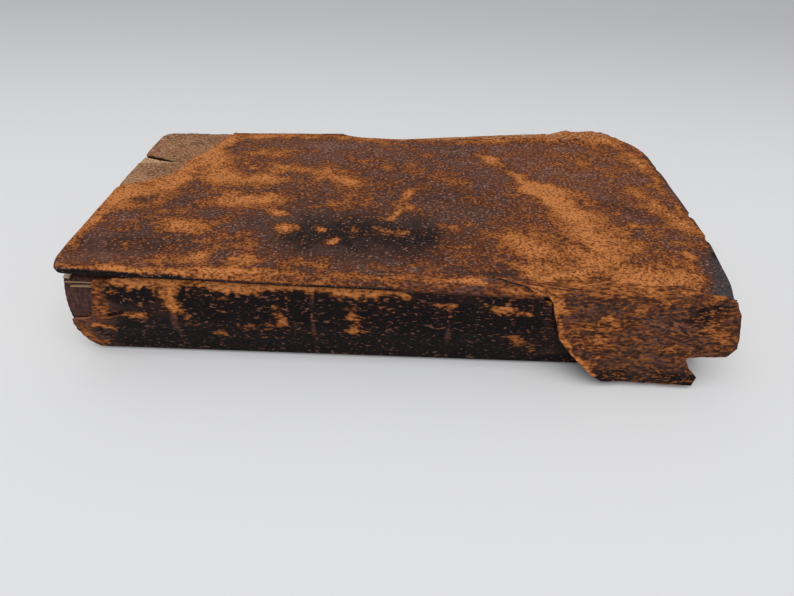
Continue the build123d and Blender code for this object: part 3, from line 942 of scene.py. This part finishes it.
@once
def cord_finish():
    """Laid hemp cord."""
    look = bpy.context.scene.book_finish
    finish = Finish("hemp_cord")
    strands = finish.noise(0.4, 4, 0.6, finish.stretched(1.0, 0.35, 0.35))
    dusty = scaled(0.5, look.hemp)
    colour = finish.mix(finish.rise(strands, 0.35, 0.7), dusty, look.hemp)
    return finish.done(colour, 0.9, finish.bump((strands, 0.25)), Specular_IOR_Level=0.2)


def dress_leather(piece, rubbed, black_and_shade, red):
    """Writes where a leather is rubbed, where it is darkest, from its own dark and from painted shade, and
    where it has reddened.
    """
    write_field(piece, "rubbed", rubbed)
    write_field(piece, "black_and_shade", black_and_shade)
    write_field(piece, "red", red)


class BOOK_OT_front_leather(bpy.types.Operator):
    """Leather of the front cover, lost at one corner and worn along the fore-edge"""

    bl_idname = "book.front_leather"
    bl_label = "Front Cover Leather"

    def execute(self, context):
        shape = context.scene.book_shape
        soft = shape.edge_round / MM
        spacing = shape.leather_grid / MM
        radii = (shape.square_corner / MM, shape.worn_corner / MM)

        def waste(p, q):
            ragged = cloud(p, q, 9, 3) * 4 + cloud(p, q, 2.6, 4) * 1.8
            lost = beyond(BARE_RIM, p, q) + ragged * 0.6
            away, _, _ = edge_distance(p, q, *radii)
            bare = read_off(FORE_BARE, p)
            depth = bare + read_off(FORE_WEAR, p)
            frayed = q - FORE + depth + cloud(p, q, 5, 6) * np.minimum(bare, 2.2) * 1.5
            turned = THICK + 1.2 * soft - away
            worn = np.minimum(np.minimum(frayed, turned), bare - 0.4)
            nicks = np.full(np.shape(p), -1.0)
            for at, nick, width in TAIL_NICKS:
                nicks = np.maximum(nicks, p - HALF + nick * bell(q - at, width) - 0.15)
            nicks = np.minimum(nicks, THICK - away)
            corner = outside_mitre(p, q, radii, soft)
            end = np.maximum(outside_roll(p, q), np.where(p > 0, -1.0, corner))
            return np.maximum.reduce([lost, worn, np.where(nicks > 0, nicks, -1.0), end])

        piece = cover_leather_grid("front_cover_leather", spacing, shape.turn_in / MM, 3.0)
        p, q = cut_sheet(piece, waste, spacing)
        x, y, height, way = fold_over(p, q, radii, soft)
        lost = beyond(BARE_RIM, p, q)
        top = on_top(way)
        swell = cloud(p, q, 42, 1, 2) * shape.cockle / MM + cloud(p, q, 9, 2, 3) * 0.35
        crease, _ = line_distance(COVER_CREASE, p, q)
        swell += 0.45 * bell(crease, 1.6) - 0.25 * bell(crease - 4, 2.5)
        curl = bell(lost, 3.0) * (0.35 + 0.9 * cloud(p, q, 8, 8))
        height = height + top * (swell + curl) + (1 - top) * cloud(p, q, 7, 5, 3) * 0.3
        x, lift = worn_outline(x, y)
        set_points(piece, x, y, cover_middle(x, y) + height + lift * ease(-1.5, 1.0, height))
        crack = np.interp(p, (-107, -90, -60, -20), (0.1, 0.0, -0.35, -0.55))
        turn = (JOINT - q) / ROLL + cloud(p, q, 11, 17) * 0.7 + cloud(p, q, 2.4, 19) * 0.6 + crack
        darks = marks(COVER_DARKS, p, q)
        patchy = 0.65 + 0.9 * (mottle(p * 0.7, q, 7, 16) - 0.2)
        rubbed = marks(COVER_RUBS, p, q) * patchy + 0.16 + 0.25 * edge_wear(way) + 0.3 * cloud(p, q, 26, 12)
        rubbed = rubbed + 0.1 * ease(35, 60, p) + 0.06 * ease(-40, -60, p)
        rubbed = rubbed - 0.12 * ease(-66, -84, p) * ease(-24, -38, q)
        rubbed = rubbed + 0.4 * cloud(p * 0.6, q, 6, 18) + 0.45 * cloud(p * 0.6, q, 2.4, 20, 2)
        rubbed = rubbed + 0.35 * ease(0.0, 0.6, turn) * ease(1.3, 0.9, turn) - 0.15 * darks
        tail_edge = ease(-2.0, 0.8, way) * ease(86, 98, p) * ease(44, 34, q)
        rubbed = rubbed - 0.4 * tail_edge
        # Painted shade: the rise with turn paints the lower half of the roll at the joint very dark, for the
        # shade of the gap beneath it. The other terms are the leather's own dark.
        black_and_shade = darks + 0.35 * cloud(p, q, 40, 14) + ease(1.0, 1.5, turn) + 0.7 * tail_edge
        greys = marks(COVER_GREYS, p, q)
        # Painted shade: no rubbing is left in the shaded lower half of the roll.
        rubbed = rubbed - ease(1.0, 1.6, turn) - 0.4 * greys
        dress_leather(piece, rubbed, black_and_shade, marks(COVER_REDS, p, q) - greys)
        finish_sheet(piece, shape.leather / MM, (cover_leather_finish(), torn_finish()), way > THICK)
        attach(piece, "front_cover")
        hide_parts("front_cover_leather")
        return {"FINISHED"}


class BOOK_OT_back_leather(bpy.types.Operator):
    """Leather of the back cover, whole but rubbed along its edges"""

    bl_idname = "book.back_leather"
    bl_label = "Back Cover Leather"

    def execute(self, context):
        shape = context.scene.book_shape
        soft = shape.edge_round / MM
        spacing = 1.3 * shape.leather_grid / MM
        radii = (shape.square_corner / MM, shape.square_corner / MM)

        def waste(p, q):
            lost = cloud(p, q, 3, 36) * 1.2 - back_kept(p, q)
            return np.maximum.reduce([outside_roll(p, q), outside_mitre(p, q, radii, soft), lost])

        piece = cover_leather_grid("back_cover_leather", spacing, shape.turn_in / MM, 2.0)
        p, q = cut_sheet(piece, waste, spacing)
        x, y, height, way = fold_over(p, q, radii, soft)
        top = on_top(way)
        hollow = np.minimum(cloud(p, q, 9, 22, 3) * 0.3 - 0.12, 0)
        height = height + top * hollow + (1 - top) * np.minimum(cloud(p, q, 7, 25, 3) * 0.2 - 0.1, 0)
        set_points(piece, x, y, ROLL - height)
        edit(piece, (bpy.ops.mesh.flip_normals, {}))
        rubbed = 0.4 * edge_wear(way) + 0.5 * cloud(p, q, 26, 31) + 0.2
        dress_leather(piece, rubbed, 0.2 + 0.8 * cloud(p, q, 40, 33), cloud(p, q, 50, 34) + 0.2)
        finish_sheet(piece, shape.leather / MM, (cover_leather_finish(), torn_finish()), way > THICK)
        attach(piece, "back_cover")
        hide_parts("back_cover_leather")
        return {"FINISHED"}


def spine_arc(z, inward=0.0):
    """Y of the rounded spine at a height, outside its leather or inwards from there."""
    reach = np.maximum((SPINE_RADIUS - inward) ** 2 - (z - SPINE_Z) ** 2, 1.0)
    return SPINE_Y - np.sqrt(reach)


def spine_level(x, way):
    """Height at a way down the spine leather while it goes straight down."""
    return cover_middle(x, JOINT) - ROLL - TOP_GAP - way


def spine_fall(x, way):
    """Y and Z at a way down the spine leather, from its upper edge to under the back cover."""
    level = spine_level(x, way)
    roll = ROLL + ROLL_GAP
    swell = spine_arc(SPINE_Z)
    drop = ease(SPINE_Z, ROLL, level)
    upper = spine_arc(np.maximum(level, SPINE_Z))
    y = np.where(level > SPINE_Z, upper, swell + (JOINT - roll - swell) * drop)
    turn = np.clip((ROLL - level) / roll, 0, math.pi / 2)
    y = np.where(level < ROLL, JOINT - roll * np.cos(turn), y)
    z = np.where(level < ROLL, ROLL - np.minimum(roll, ROLL - 0.04) * np.sin(turn), level)
    y = np.where(turn >= math.pi / 2, JOINT + (ROLL - level) - roll * math.pi / 2, y)
    return y, z


class BOOK_OT_spine_leather(bpy.types.Operator):
    """Leather left on the spine, torn at the head and split along its length"""

    bl_idname = "book.spine_leather"
    bl_label = "Spine Leather"

    def execute(self, context):
        shape = context.scene.book_shape
        spacing = 1.15 * shape.torn_grid / MM

        def waste(p, q):
            z = spine_level(p, -q)
            ragged = cloud(p, z, 4, 41) * 2.4 + cloud(p, z, 1.5, 42) * 0.8
            head = -beyond(HEAD_TEAR, p, z) + ragged * 0.6
            tail = beyond(TAIL_TEAR, p, z) + ragged * 0.6
            gap = np.interp(p, (-107, -98, -85, -60, -4), (3.0, 2.4, 1.1, 0.5, 0.3))
            upper = q + gap + cloud(p, q, 6, 43) * gap * 0.9
            from_slit, _ = line_distance(HEAD_SLIT, p, z)
            slit = 0.25 + 0.9 * bell(p + 91, 5) - from_slit
            return np.maximum.reduce([head, tail, upper, slit])

        piece = lay_sheet("spine_leather", even_lines(-111, 74, spacing), even_lines(-36.5, 0.3, spacing))
        p, q = cut_sheet(piece, waste, spacing)
        y, z = spine_fall(p, -q)
        out_y = -np.sqrt(np.clip(1 - ((z - SPINE_Z) / SPINE_RADIUS) ** 2, 0.1, 1))
        out_z = np.where(z > SPINE_Z, (z - SPINE_Z) / SPINE_RADIUS, 0)
        lie = ease(1.5, 5.0, z)
        ridges = cloud(p * 0.16, z, 2.4, 44, 3) * 0.45 + cloud(p, z, 14, 45, 3) * 0.7
        crumple = ease(-92, -101, p) * ease(12, 20, z) * (cloud(p, z, 5, 46) * 3.4 + 0.5)
        from_slit, _ = line_distance(HEAD_SLIT, p, z - 1.4)
        lip = bell(from_slit, 1.3) * 0.9
        frayed = ease(-100, -107, p) * ease(16, 10, z) * (cloud(p, z, 4, 47) * 2.0)
        fillet = sum(np.exp(-(((p - at) / 0.9) ** 4)) for at in FILLETS)
        raised = ridges + crumple + lip + frayed - 0.12 * fillet
        set_points(piece, p, y + out_y * raised * lie, np.maximum(z + out_z * raised * lie, FLOOR_GAP))
        patchy = 0.7 + 0.8 * (mottle(p * 0.6, z, 4, 49) - 0.2)
        rubbed = marks(SPINE_RUBS, p, z) * patchy + 0.04 + 0.3 * cloud(p, z, 16, 48) + 0.13 * fillet
        rubbed = rubbed - 0.14 * ease(9, 4, z) * ease(-99, -90, p)
        rubbed = rubbed + 0.5 * cloud(p * 0.12, z, 1.3, 50, 2)
        rubbed = rubbed + 0.7 * ease(23, 26, z) * cloud(p, 0.25 * z, 1.6, 54, 2)
        rubbed = rubbed + 0.1 * ease(-90, -96, p) * ease(17, 20, z)
        darkened = marks(SPINE_DARKS, p, z)
        black_and_shade = 0.75 + 0.8 * darkened - 0.55 * fillet - 0.4 * ease(-88, -96, p)
        dress_leather(piece, rubbed - 0.12 * darkened, black_and_shade, ease(-84, -98, p) * 0.6)
        finish_sheet(piece, shape.leather / MM * 0.8, (spine_leather_finish(), torn_finish()))
        raise_to(piece, FLOOR_GAP)
        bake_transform(piece)
        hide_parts("spine_leather")
        return {"FINISHED"}


def shoulder(x, way, lift, steep):
    """Y and Z of a sheet that leaves the front cover, turns over its roll and goes down at a slope."""
    radius = ROLL + lift
    flat = 5.0
    y = JOINT + np.maximum(flat - way, 0)
    turn = np.clip((way - flat) / radius, 0, steep)
    rise = lift * ease(0, 3.5, way) - 0.03
    z = cover_middle(x, y) + ROLL + rise
    middle = cover_middle(x, JOINT)
    y = np.where(way > flat, JOINT - radius * np.sin(turn), y)
    z = np.where(way > flat, middle + radius * np.cos(turn), z)
    return y, z, np.maximum(way - flat - radius * steep, 0)


class BOOK_OT_joint_leather(bpy.types.Operator):
    """Leather that still joins the front cover to the spine, between the cracks"""

    bl_idname = "book.joint_leather"
    bl_label = "Joint Leather"

    def execute(self, context):
        shape = context.scene.book_shape
        spacing = shape.torn_grid / MM

        def waste(p, q):
            ragged = cloud(p, q, 4, 51) * 1.6
            head = -4 - p + np.maximum(-q - 6.5, 0) * 1.5 + ragged
            tail = -beyond(CRACK, p, -q) + np.interp(-q, (2, 5, 8, 12), (0.3, 0.6, 1.7, 2.2)) + ragged * 0.2
            return np.maximum(head, tail)

        piece = lay_sheet("joint_leather", even_lines(-12, 54, spacing), even_lines(-13.5, -0.2, spacing))
        p, q = cut_sheet(piece, waste, spacing)
        y, z, past = shoulder(p, -q, 0.3, math.radians(85))
        z = z - past - 0.75 * ease(14, -3, p) * ease(6, 4, -q)
        y = np.where(past > 0, y + (spine_arc(z) - 0.12 - y) * ease(0, 4.5, past), y)
        ridges = cloud(p * 0.2, q, 2.2, 52, 3) * 0.4 * ease(2, 5, -q)
        set_points(piece, p, y - ridges * ease(4, 7, -q), z + ridges * ease(8, 5, -q))
        rubbed = 0.4 * ease(1.0, 5.0, -q) * ease(11, 8, -q) + 0.5 * cloud(p, q, 8, 53) - 0.06
        rubbed = rubbed + 0.6 * cloud(p * 0.3, q, 1.4, 55, 2)
        # Painted shade: a narrow, very dark, unrubbed line along the crack stands for the shade inside it.
        crack, _ = line_distance(CRACK, p, -q)
        gap = bell(crack, 1.0)
        dress_leather(piece, rubbed - gap, 0.1 + 0.8 * ease(8, 11, -q) + 2.5 * gap, 0.3)
        finish_sheet(piece, shape.leather / MM * 0.6, (spine_leather_finish(), torn_finish()))
        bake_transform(piece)
        return {"FINISHED"}


class BOOK_OT_torn_flap(bpy.types.Operator):
    """Piece of the spine leather that has come away and hangs from the front cover at the tail"""

    bl_idname = "book.torn_flap"
    bl_label = "Torn Flap"

    def execute(self, context):
        shape = context.scene.book_shape
        spacing = shape.torn_grid / MM
        steep = math.radians(72)
        foot = np.array((JOINT - 11.3, -0.9))

        def waste(p, q):
            ragged = cloud(p, q, 5, 61) * 1.5 + cloud(p, q, 1.6, 62) * 0.6
            return ragged * 0.4 - inside_polygon(FLAP_OUTLINE, p, -q)

        piece = lay_sheet("torn_spine_flap", even_lines(27, 111.5, spacing), even_lines(-41.5, -0.2, spacing))
        p, q = cut_sheet(piece, waste, spacing)
        y, z, past = shoulder(p, -q, 0.3, steep)
        share = past / np.where(past > 0, np.hypot(foot[0] - y, foot[1] - z), 1.0)
        bow = 1.5 * np.sin(math.pi * np.clip(share, 0, 1))
        y = y + (foot[0] - y) * share - math.sin(steep) * bow
        z = z + (foot[1] - z) * share + math.cos(steep) * bow
        hanging = ease(5, 9, -q)
        ridges = cloud(p * 0.16, q + 0.8 * cloud(p, q, 9, 68), 1.5, 63, 2)
        folds = cloud(p * 0.2, q, 3.2, 69, 2)
        wrinkles = (0.9 * ridges + 1.2 * folds) * shape.wrinkle / MM + cloud(p, q, 1.6, 64, 2) * 0.15
        waves = cloud(p, q, 16, 65, 2) * 1.5 * ease(8, 20, -q)
        crack, _ = line_distance(CRACK, p, -q)
        curl = 0.7 * bell(crack, 2.5) * ease(4, 9, -q)
        raised = wrinkles * ease(1.5, 6, -q) + waves + curl
        y = y - math.sin(steep) * raised * hanging
        z = z + np.where(-q > 6, math.cos(steep), 1.0) * raised
        set_points(piece, p, y, np.maximum(z, 0.35 * shape.leather / MM))
        patchy = 0.7 + 0.8 * (mottle(p * 0.5, q, 4, 67) - 0.2)
        rubbed = marks(FLAP_RUBS, p, -q) * patchy - 0.02 + 0.35 * cloud(p, q, 14, 66) + 0.6 * ridges
        rubbed = rubbed + 0.3 * ease(8, 3, -q)
        black_and_shade = marks(FLAP_DARKS, p, -q)
        dress_leather(piece, rubbed - 0.2 * black_and_shade, 0.5 * ease(2, 8, -q) + black_and_shade - 0.5 * ridges, 0.5)
        finish_sheet(piece, shape.leather / MM, (flap_leather_finish(), torn_finish()))
        raise_to(piece, 1.5 * FLOOR_GAP)
        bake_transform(piece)
        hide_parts("torn_spine_flap")
        return {"FINISHED"}


class BOOK_OT_boards(bpy.types.Operator):
    """Pasteboard of the covers, with its layers open where the leather is lost"""

    bl_idname = "book.boards"
    bl_label = "Boards"

    def execute(self, context):
        shape = context.scene.book_shape
        inset = shape.leather / MM + 0.1
        upper = ROLL - inset
        layers = 4
        board = 2.2
        depth = board / layers
        spacing = 0.6
        radii = (5.0 + inset, shape.worn_corner / MM)
        columns = grid_lines((-HALF, -88, 40), (-87, -73, 15), (-72, 52, 40), (53, HALF, 58))
        rows = grid_lines((JOINT + 0.1, -10, 8), (-8, 20, 15), (20.4, 32, 30), (33, FORE, 22))
        pieces = []
        for layer in range(layers):

            def waste(x, y):
                away, _, _ = edge_distance(x, y, *radii)
                wear = read_off(FORE_WEAR, x)
                away = np.maximum(away, y - FORE + wear)
                bare = bared(x, y) + ease(-30, -20, x) * ease(FORE - 8, FORE - 4, y)
                ragged = cloud(x, y, 6, 70 + layer) * 1.6 + cloud(x, y, 2, 75 + layer) * 0.7
                edge = away + inset - bare * (1.1 - 0.8 * np.abs(ragged))
                half_slit = np.interp(x, (-108, -100, -91), (0.9, 0.8, 0.25))
                split, _ = line_distance(BOARD_SPLIT, x, y)
                slit = half_slit - split if layer < layers - 1 else -1.0 + 0 * x
                wedge = inside_polygon(SPLIT_WEDGE, x, y) + ragged * 0.5 if layer == 0 else slit
                return np.maximum.reduce([edge, slit, wedge])

            piece = lay_sheet(f"board_layer_{layer}", columns, rows)
            x, y = cut_sheet(piece, waste, spacing)
            bare = bared(x, y)
            loose = 1 - layer / (layers - 1)
            rough = loose * bare * (cloud(x, y, 5, 80 + layer) * 0.5 + 0.35 * cloud(x, y, 14, 84))
            x, lift = worn_outline(x, y)
            fanned = 0.25 * cloud(x, y, 3, 88) + 0.7 * ease(50, 66, x) * cloud(x, y, 1.9, 89, 2)
            rough = rough + loose * lift + loose * ease(FORE - 6, FORE - 2, y) * fanned
            set_points(piece, x, y, cover_middle(x, y) + upper - layer * depth + rough)
            wedge = bell(np.maximum(-inside_polygon(SPLIT_WEDGE, x, y), 0), 1.5)
            pale = wedge * (1.0 if layer else 0.25) + 0.35 * ease(FORE - 4, FORE - 1, y) * ease(55, 68, x)
            write_field(piece, "pale", pale)
            # Painted shade along the split: the layers under the top one are painted dark beside the slit on
            # its upper side, and the lowest layer, which the slit does not cut, is painted dark all along it,
            # for the shade inside the slit.
            split, _ = line_distance(BOARD_SPLIT, x, y)
            upper_side = beyond(BOARD_SPLIT, x, y) > 0
            hidden = layer == layers - 1
            painted_shade = ease(2.5, 1.2, split) * np.where(upper_side | hidden, min(layer, 1), 0)
            write_field(piece, "painted_shade", painted_shade)
            rubbed = bell(beyond(BARE_RIM, x, y), 5) * 0.8
            write_field(piece, "rubbed", np.maximum(rubbed, 0.65 * ease(-34, -26, x)))
            finish_sheet(piece, depth - 0.04, (board_finish(),), angle=40)
            pieces.append(piece)
        begin(pieces[0])
        for piece in pieces:
            piece.select_set(True)
        bpy.ops.object.join()
        board = bpy.context.object
        board.name = "front_board"
        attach(board, "front_cover")
        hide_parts("front_board")

        def back_waste(x, y):
            away, _, _ = edge_distance(x, y, inset, inset)
            return np.maximum(away + inset, cloud(x, y, 3, 37) * 1.6 - back_kept(x, y))

        low, high = node_box("back_board")
        back = lay_over_box("back_board", low, high)
        x, y = cut_sheet(back, back_waste, BOX_SPACING)
        set_points(back, x, y, high[2] + 0 * x)
        for field in ("pale", "rubbed", "painted_shade"):
            write_field(back, field, 0.0)
        finish_sheet(back, high[2] - low[2], (board_finish(),), angle=40)
        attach(back, "back_cover")
        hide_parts("back_board")
        return {"FINISHED"}


class BOOK_OT_pages(bpy.types.Operator):
    """Text block with its leaves, its hollow fore-edge and its gatherings at the spine"""

    bl_idname = "book.pages"
    bl_label = "Pages"

    def execute(self, context):
        shape = context.scene.book_shape
        caps = 8
        leaves = shape.leaf_layers
        head, tail = text_low[0], text_high[0]
        bottom = text_low[2]
        fore = text_high[1] - 0.4
        per_end = 54
        per_side = 140
        round_trip = 2 * (per_end + per_side)
        piece = lay_sheet("text_block", np.arange(round_trip + 1), np.arange(2 * caps + leaves + 1))
        points = get_points(piece)
        step = np.round(points[:, 0]) % round_trip
        row = np.round(points[:, 1])
        share = np.clip((row - caps) / leaves, 0, 1)
        inward = np.clip(np.maximum(caps - row, row - caps - leaves) / caps, 0, 1)
        on_spine = step <= per_side
        on_tail = (step > per_side) & (step <= per_side + per_end)
        on_fore = (step > per_side + per_end) & (step <= 2 * per_side + per_end)
        sides = (on_spine, on_tail, on_fore)
        to_head = 1 - (step - per_side - per_end) / per_side
        to_spine = 1 - (step - 2 * per_side - per_end) / per_end
        along = np.select(sides, (step / per_side, 1, to_head), 0)
        across = np.select(sides, (0, (step - per_side) / per_end, 1), to_spine)
        x = head + (tail - head) * along
        middle_y = (JOINT + fore) / 2
        guess = JOINT + (fore - JOINT) * across
        z = bottom + (warp_height(PAGES_WARP, x, guess) - bottom) * share
        leaf = np.round(row).astype(int)
        jog = np.random.default_rng(5).random(2 * caps + leaves + 2)[leaf]
        fold = np.abs(np.sin(math.pi * share * shape.gatherings)) ** 0.6
        spine_y = spine_arc(z, PAGES_GAP) - 0.25 * fold + 0.05 * jog
        hollow = 1.5 * np.sin(math.pi * share)
        fore_y = fore - hollow - 0.3 * jog - 0.25 * mottle(x, z, 9, 91)
        y = spine_y + (fore_y - spine_y) * across
        frayed = 0.22 * jog + 0.25 * mottle(y, z, 7, 92)
        x = np.where(on_tail, x - frayed, np.where(on_spine | on_fore, x, x + frayed))
        held_x = np.clip(x, head + 50, tail - 50)
        x = x + (held_x - x) * inward
        y = y + (middle_y - y) * inward
        z = np.where(row > caps + leaves, warp_height(PAGES_WARP, x, y), np.where(row < caps, bottom, z))
        set_points(piece, x, y, z)
        write_field(piece, "glued", np.where(on_spine, 1.0, 0.0) * (1 - inward))
        piece.data.materials.append(page_finish())
        edit(
            piece,
            (bpy.ops.mesh.remove_doubles, {"threshold": SEAM_GAP * MM}),
            (bpy.ops.mesh.normals_make_consistent, {"inside": False}),
        )
        bpy.ops.object.shade_smooth_by_angle(angle=math.radians(35))
        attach(piece, "text_block")
        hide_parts("text_block")
        return {"FINISHED"}


class BOOK_OT_loose_leaves(bpy.types.Operator):
    """Torn folds of leaves that stand out at the head of the spine"""

    bl_idname = "book.loose_leaves"
    bl_label = "Loose Leaves"

    def execute(self, context):
        paper = context.scene.book_shape.paper / MM
        top = warp_height(PAGES_WARP, text_low[0], JOINT)
        for number, (head, tail, drop, reach) in enumerate(LOOSE_LEAVES):
            piece = lay_sheet(f"loose_leaf_{number + 1}", np.linspace(head, tail, 40), np.linspace(0, 1, 12))

            def waste(x, y):
                return np.maximum(head + 0.3 - x, x - tail + 0.3) + 1.6 * cloud(x, 8 * y, 2.5, 100 + number)

            x, y = cut_sheet(piece, waste, 0.25)
            z = top - drop + 0.25 * cloud(x, 6 * y, 4, 105 + number)
            out = spine_arc(z, PAGES_GAP) - reach * (1 - y) + 3.0 * y
            set_points(piece, x, out - 0.5 * reach * cloud(x, y, 3, 110 + number), z)
            tint = (0.62, 0.52, 0.45) if number < 2 else (1.1, 1.1, 1.15)
            finish_sheet(piece, 0.7 * paper, (paper_finish(f"loose_leaf_paper_{min(number, 2)}", tint),))
            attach(piece, "text_block")
        return {"FINISHED"}


ENDPAPERS = (
    ("front_flyleaf", "text_block"),
    ("back_flyleaf", "text_block"),
    ("front_pastedown", "front_cover"),
    ("back_pastedown", "back_cover"),
)


class BOOK_OT_endpapers(bpy.types.Operator):
    """Free endpapers and the ones pasted inside the covers"""

    bl_idname = "book.endpapers"
    bl_label = "Endpapers"

    def execute(self, context):
        shape = context.scene.book_shape
        paper = shape.paper / MM
        for name, body in ENDPAPERS:
            low, high = node_box(name)

            def waste(x, y):
                torn = 3.0 * ease(-78, -94, x) if name == "front_flyleaf" else 0.0
                edge = np.maximum.reduce([low[0] - x, x - high[0], y - high[1], low[1] + torn - y])
                return edge + 0.4 * mottle(x, y, 6, len(name)) + 0.02

            piece = lay_over_box(name, low, high)
            x, y = cut_sheet(piece, waste, BOX_SPACING)
            cockle = cloud(x, y, 45, 96, 2) * 0.12
            sunk = 0.6 * ease(12.6, 13.6, np.minimum.reduce([HALF - np.abs(x), FORE - y]))
            if name == "front_pastedown":
                x, _ = worn_outline(x, y)
            if name == "front_flyleaf":
                z = warp_height(PAGES_WARP, x, y) + 0.2 + paper + cockle
            elif name == "back_flyleaf":
                z = high[2] + 0 * x
            elif name == "front_pastedown":
                z = cover_middle(x, y) - ROLL - 0.1 + sunk
            else:
                z = THICK + 0.1 + paper - sunk
            set_points(piece, x, y, z)
            tint = (1.0, 1.0, 1.0) if "flyleaf" in name else (0.92, 0.86, 0.78)
            finish_sheet(piece, paper, (paper_finish(name + "_paper", tint),))
            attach(piece, body)
            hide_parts(name)
        return {"FINISHED"}


class BOOK_OT_cords(bpy.types.Operator):
    """Sewing cords and the slips that are laced through the boards"""

    bl_idname = "book.cords"
    bl_label = "Cords"

    def execute(self, context):
        for name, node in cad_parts.items():
            if "cord" in name:
                node.data.materials.clear()
                node.data.materials.append(cord_finish())
        return {"FINISHED"}


# Stage: the camera was solved from the photo, its place in millimetres and its turns in degrees

CAMERA_PLACE = (0.23, -186.35, 144.76)
CAMERA_TURNS = (41.205, 0.135, 1.961)
LENS_PIXELS = 567.4
PHOTO_PIXELS = 794
SENSOR_WIDTH = 36.0
FLOOR_RADIUS = 9000.0
FLOOR_DROP = 0.05
ROOM_COLOUR = (0.97, 0.985, 1.0, 1.0)
ROOM_STRENGTH = 0.44
LAMPS = (("window", (-0.3, 0.5, 1.1), 1.6, 2.4), ("ceiling", (0.0, -0.6, 1.2), 1.6, 15.5))


class BOOK_OT_stage(bpy.types.Operator):
    """Pale seamless floor, soft light and the camera"""

    bl_idname = "book.stage"
    bl_label = "Stage"

    def execute(self, context):
        look = context.scene.book_finish
        scene = context.scene
        scene.view_settings.view_transform = "Standard"
        bpy.ops.object.select_all(action="DESELECT")
        bpy.ops.mesh.primitive_circle_add(vertices=96, radius=FLOOR_RADIUS * MM, fill_type="NGON")
        floor = context.object
        floor.name = "floor"
        points = get_points(floor)
        set_points(floor, points[:, 0], points[:, 1], points[:, 2] - FLOOR_DROP)
        finish = Finish("floor")
        pale = scaled(0.985, look.floor)
        near = finish.mix(finish.noise(300.0, 3, 0.5), look.floor, pale)
        # Painted shade: the floor is painted darker behind the book and far from it, standing for the light
        # falling off toward the room.
        far = finish.node("ShaderNodeVectorMath", {0: finish.place}, operation="LENGTH").outputs["Value"]
        behind = finish.node("ShaderNodeSeparateXYZ", {"Vector": finish.place}).outputs["Y"]
        painted_falloff = finish.math("MAXIMUM", finish.rise(behind, 0.02, 0.42), finish.rise(far, 0.4, 1.0))
        colour = finish.mix(painted_falloff, near, look.backdrop)
        finish.done(colour, 0.7, finish.bump((finish.noise(1.5, 3), 0.01)), Specular_IOR_Level=0.2)
        floor.data.materials.append(finish.material)

        world = bpy.data.worlds.new("room")
        scene.world = world
        world.use_nodes = True
        nodes = world.node_tree.nodes
        links = world.node_tree.links
        fill = nodes["Background"]
        fill.inputs["Color"].default_value = ROOM_COLOUR
        fill.inputs["Strength"].default_value = ROOM_STRENGTH
        wall = nodes.new("ShaderNodeBackground")
        wall.inputs["Color"].default_value = (*look.backdrop, 1.0)
        path = nodes.new("ShaderNodeLightPath")
        seen = path.outputs["Is Camera Ray"]
        for ray in ("Is Glossy Ray", "Is Transmission Ray"):
            either = nodes.new("ShaderNodeMath")
            either.operation = "MAXIMUM"
            links.new(seen, either.inputs[0])
            links.new(path.outputs[ray], either.inputs[1])
            seen = either.outputs[0]
        share = nodes.new("ShaderNodeMixShader")
        links.new(seen, share.inputs[0])
        links.new(fill.outputs[0], share.inputs[1])
        links.new(wall.outputs[0], share.inputs[2])
        links.new(share.outputs[0], nodes["World Output"].inputs["Surface"])
        for name, place, size, power in LAMPS:
            bpy.ops.object.light_add(type="AREA", location=place)
            lamp = context.object
            lamp.name = name
            lamp.data.size = size
            lamp.data.energy = power
            lamp.rotation_euler = (-Vector(place)).to_track_quat("-Z", "Y").to_euler()

        pitch, yaw, roll = (math.radians(angle) for angle in CAMERA_TURNS)
        ahead = Vector((-math.sin(yaw), math.cos(yaw), 0))
        level = Vector((math.cos(yaw), math.sin(yaw), 0))
        forward = math.cos(pitch) * ahead - Vector((0, 0, math.sin(pitch)))
        above = math.sin(pitch) * ahead + Vector((0, 0, math.cos(pitch)))
        right = math.cos(roll) * level + math.sin(roll) * above
        up = math.cos(roll) * above - math.sin(roll) * level
        camera = bpy.data.objects.new("camera", bpy.data.cameras.new("camera"))
        scene.collection.objects.link(camera)
        camera.data.sensor_width = SENSOR_WIDTH
        camera.data.lens = LENS_PIXELS / PHOTO_PIXELS * SENSOR_WIDTH
        camera.data.clip_start = 0.005
        turned = Matrix((right, up, -forward)).transposed()
        camera.matrix_world = Matrix.Translation(Vector(CAMERA_PLACE) * MM) @ turned.to_4x4()
        scene.camera = camera
        return {"FINISHED"}


STEPS = (
    BOOK_OT_front_leather,
    BOOK_OT_back_leather,
    BOOK_OT_spine_leather,
    BOOK_OT_joint_leather,
    BOOK_OT_torn_flap,
    BOOK_OT_boards,
    BOOK_OT_pages,
    BOOK_OT_loose_leaves,
    BOOK_OT_endpapers,
    BOOK_OT_cords,
    BOOK_OT_stage,
)


class BOOK_PT_panel(bpy.types.Panel):
    """Steps that dress the book"""

    bl_label = "Worn Leather Book"
    bl_idname = "BOOK_PT_panel"
    bl_space_type = "VIEW_3D"
    bl_region_type = "UI"
    bl_category = "Book"

    def draw(self, context):
        for step in STEPS:
            self.layout.operator(step.bl_idname)


CLASSES = (BookShape, BookFinish, *STEPS, BOOK_PT_panel)


def register():
    for each in CLASSES:
        bpy.utils.register_class(each)
    bpy.types.Scene.book_shape = bpy.props.PointerProperty(type=BookShape)
    bpy.types.Scene.book_finish = bpy.props.PointerProperty(type=BookFinish)


def unregister():
    del bpy.types.Scene.book_finish
    del bpy.types.Scene.book_shape
    for each in reversed(CLASSES):
        bpy.utils.unregister_class(each)


def main():
    register()
    for step in STEPS:
        group, name = step.bl_idname.split(".")
        getattr(getattr(bpy.ops, group), name)()


if __name__ == "__main__":
    main()
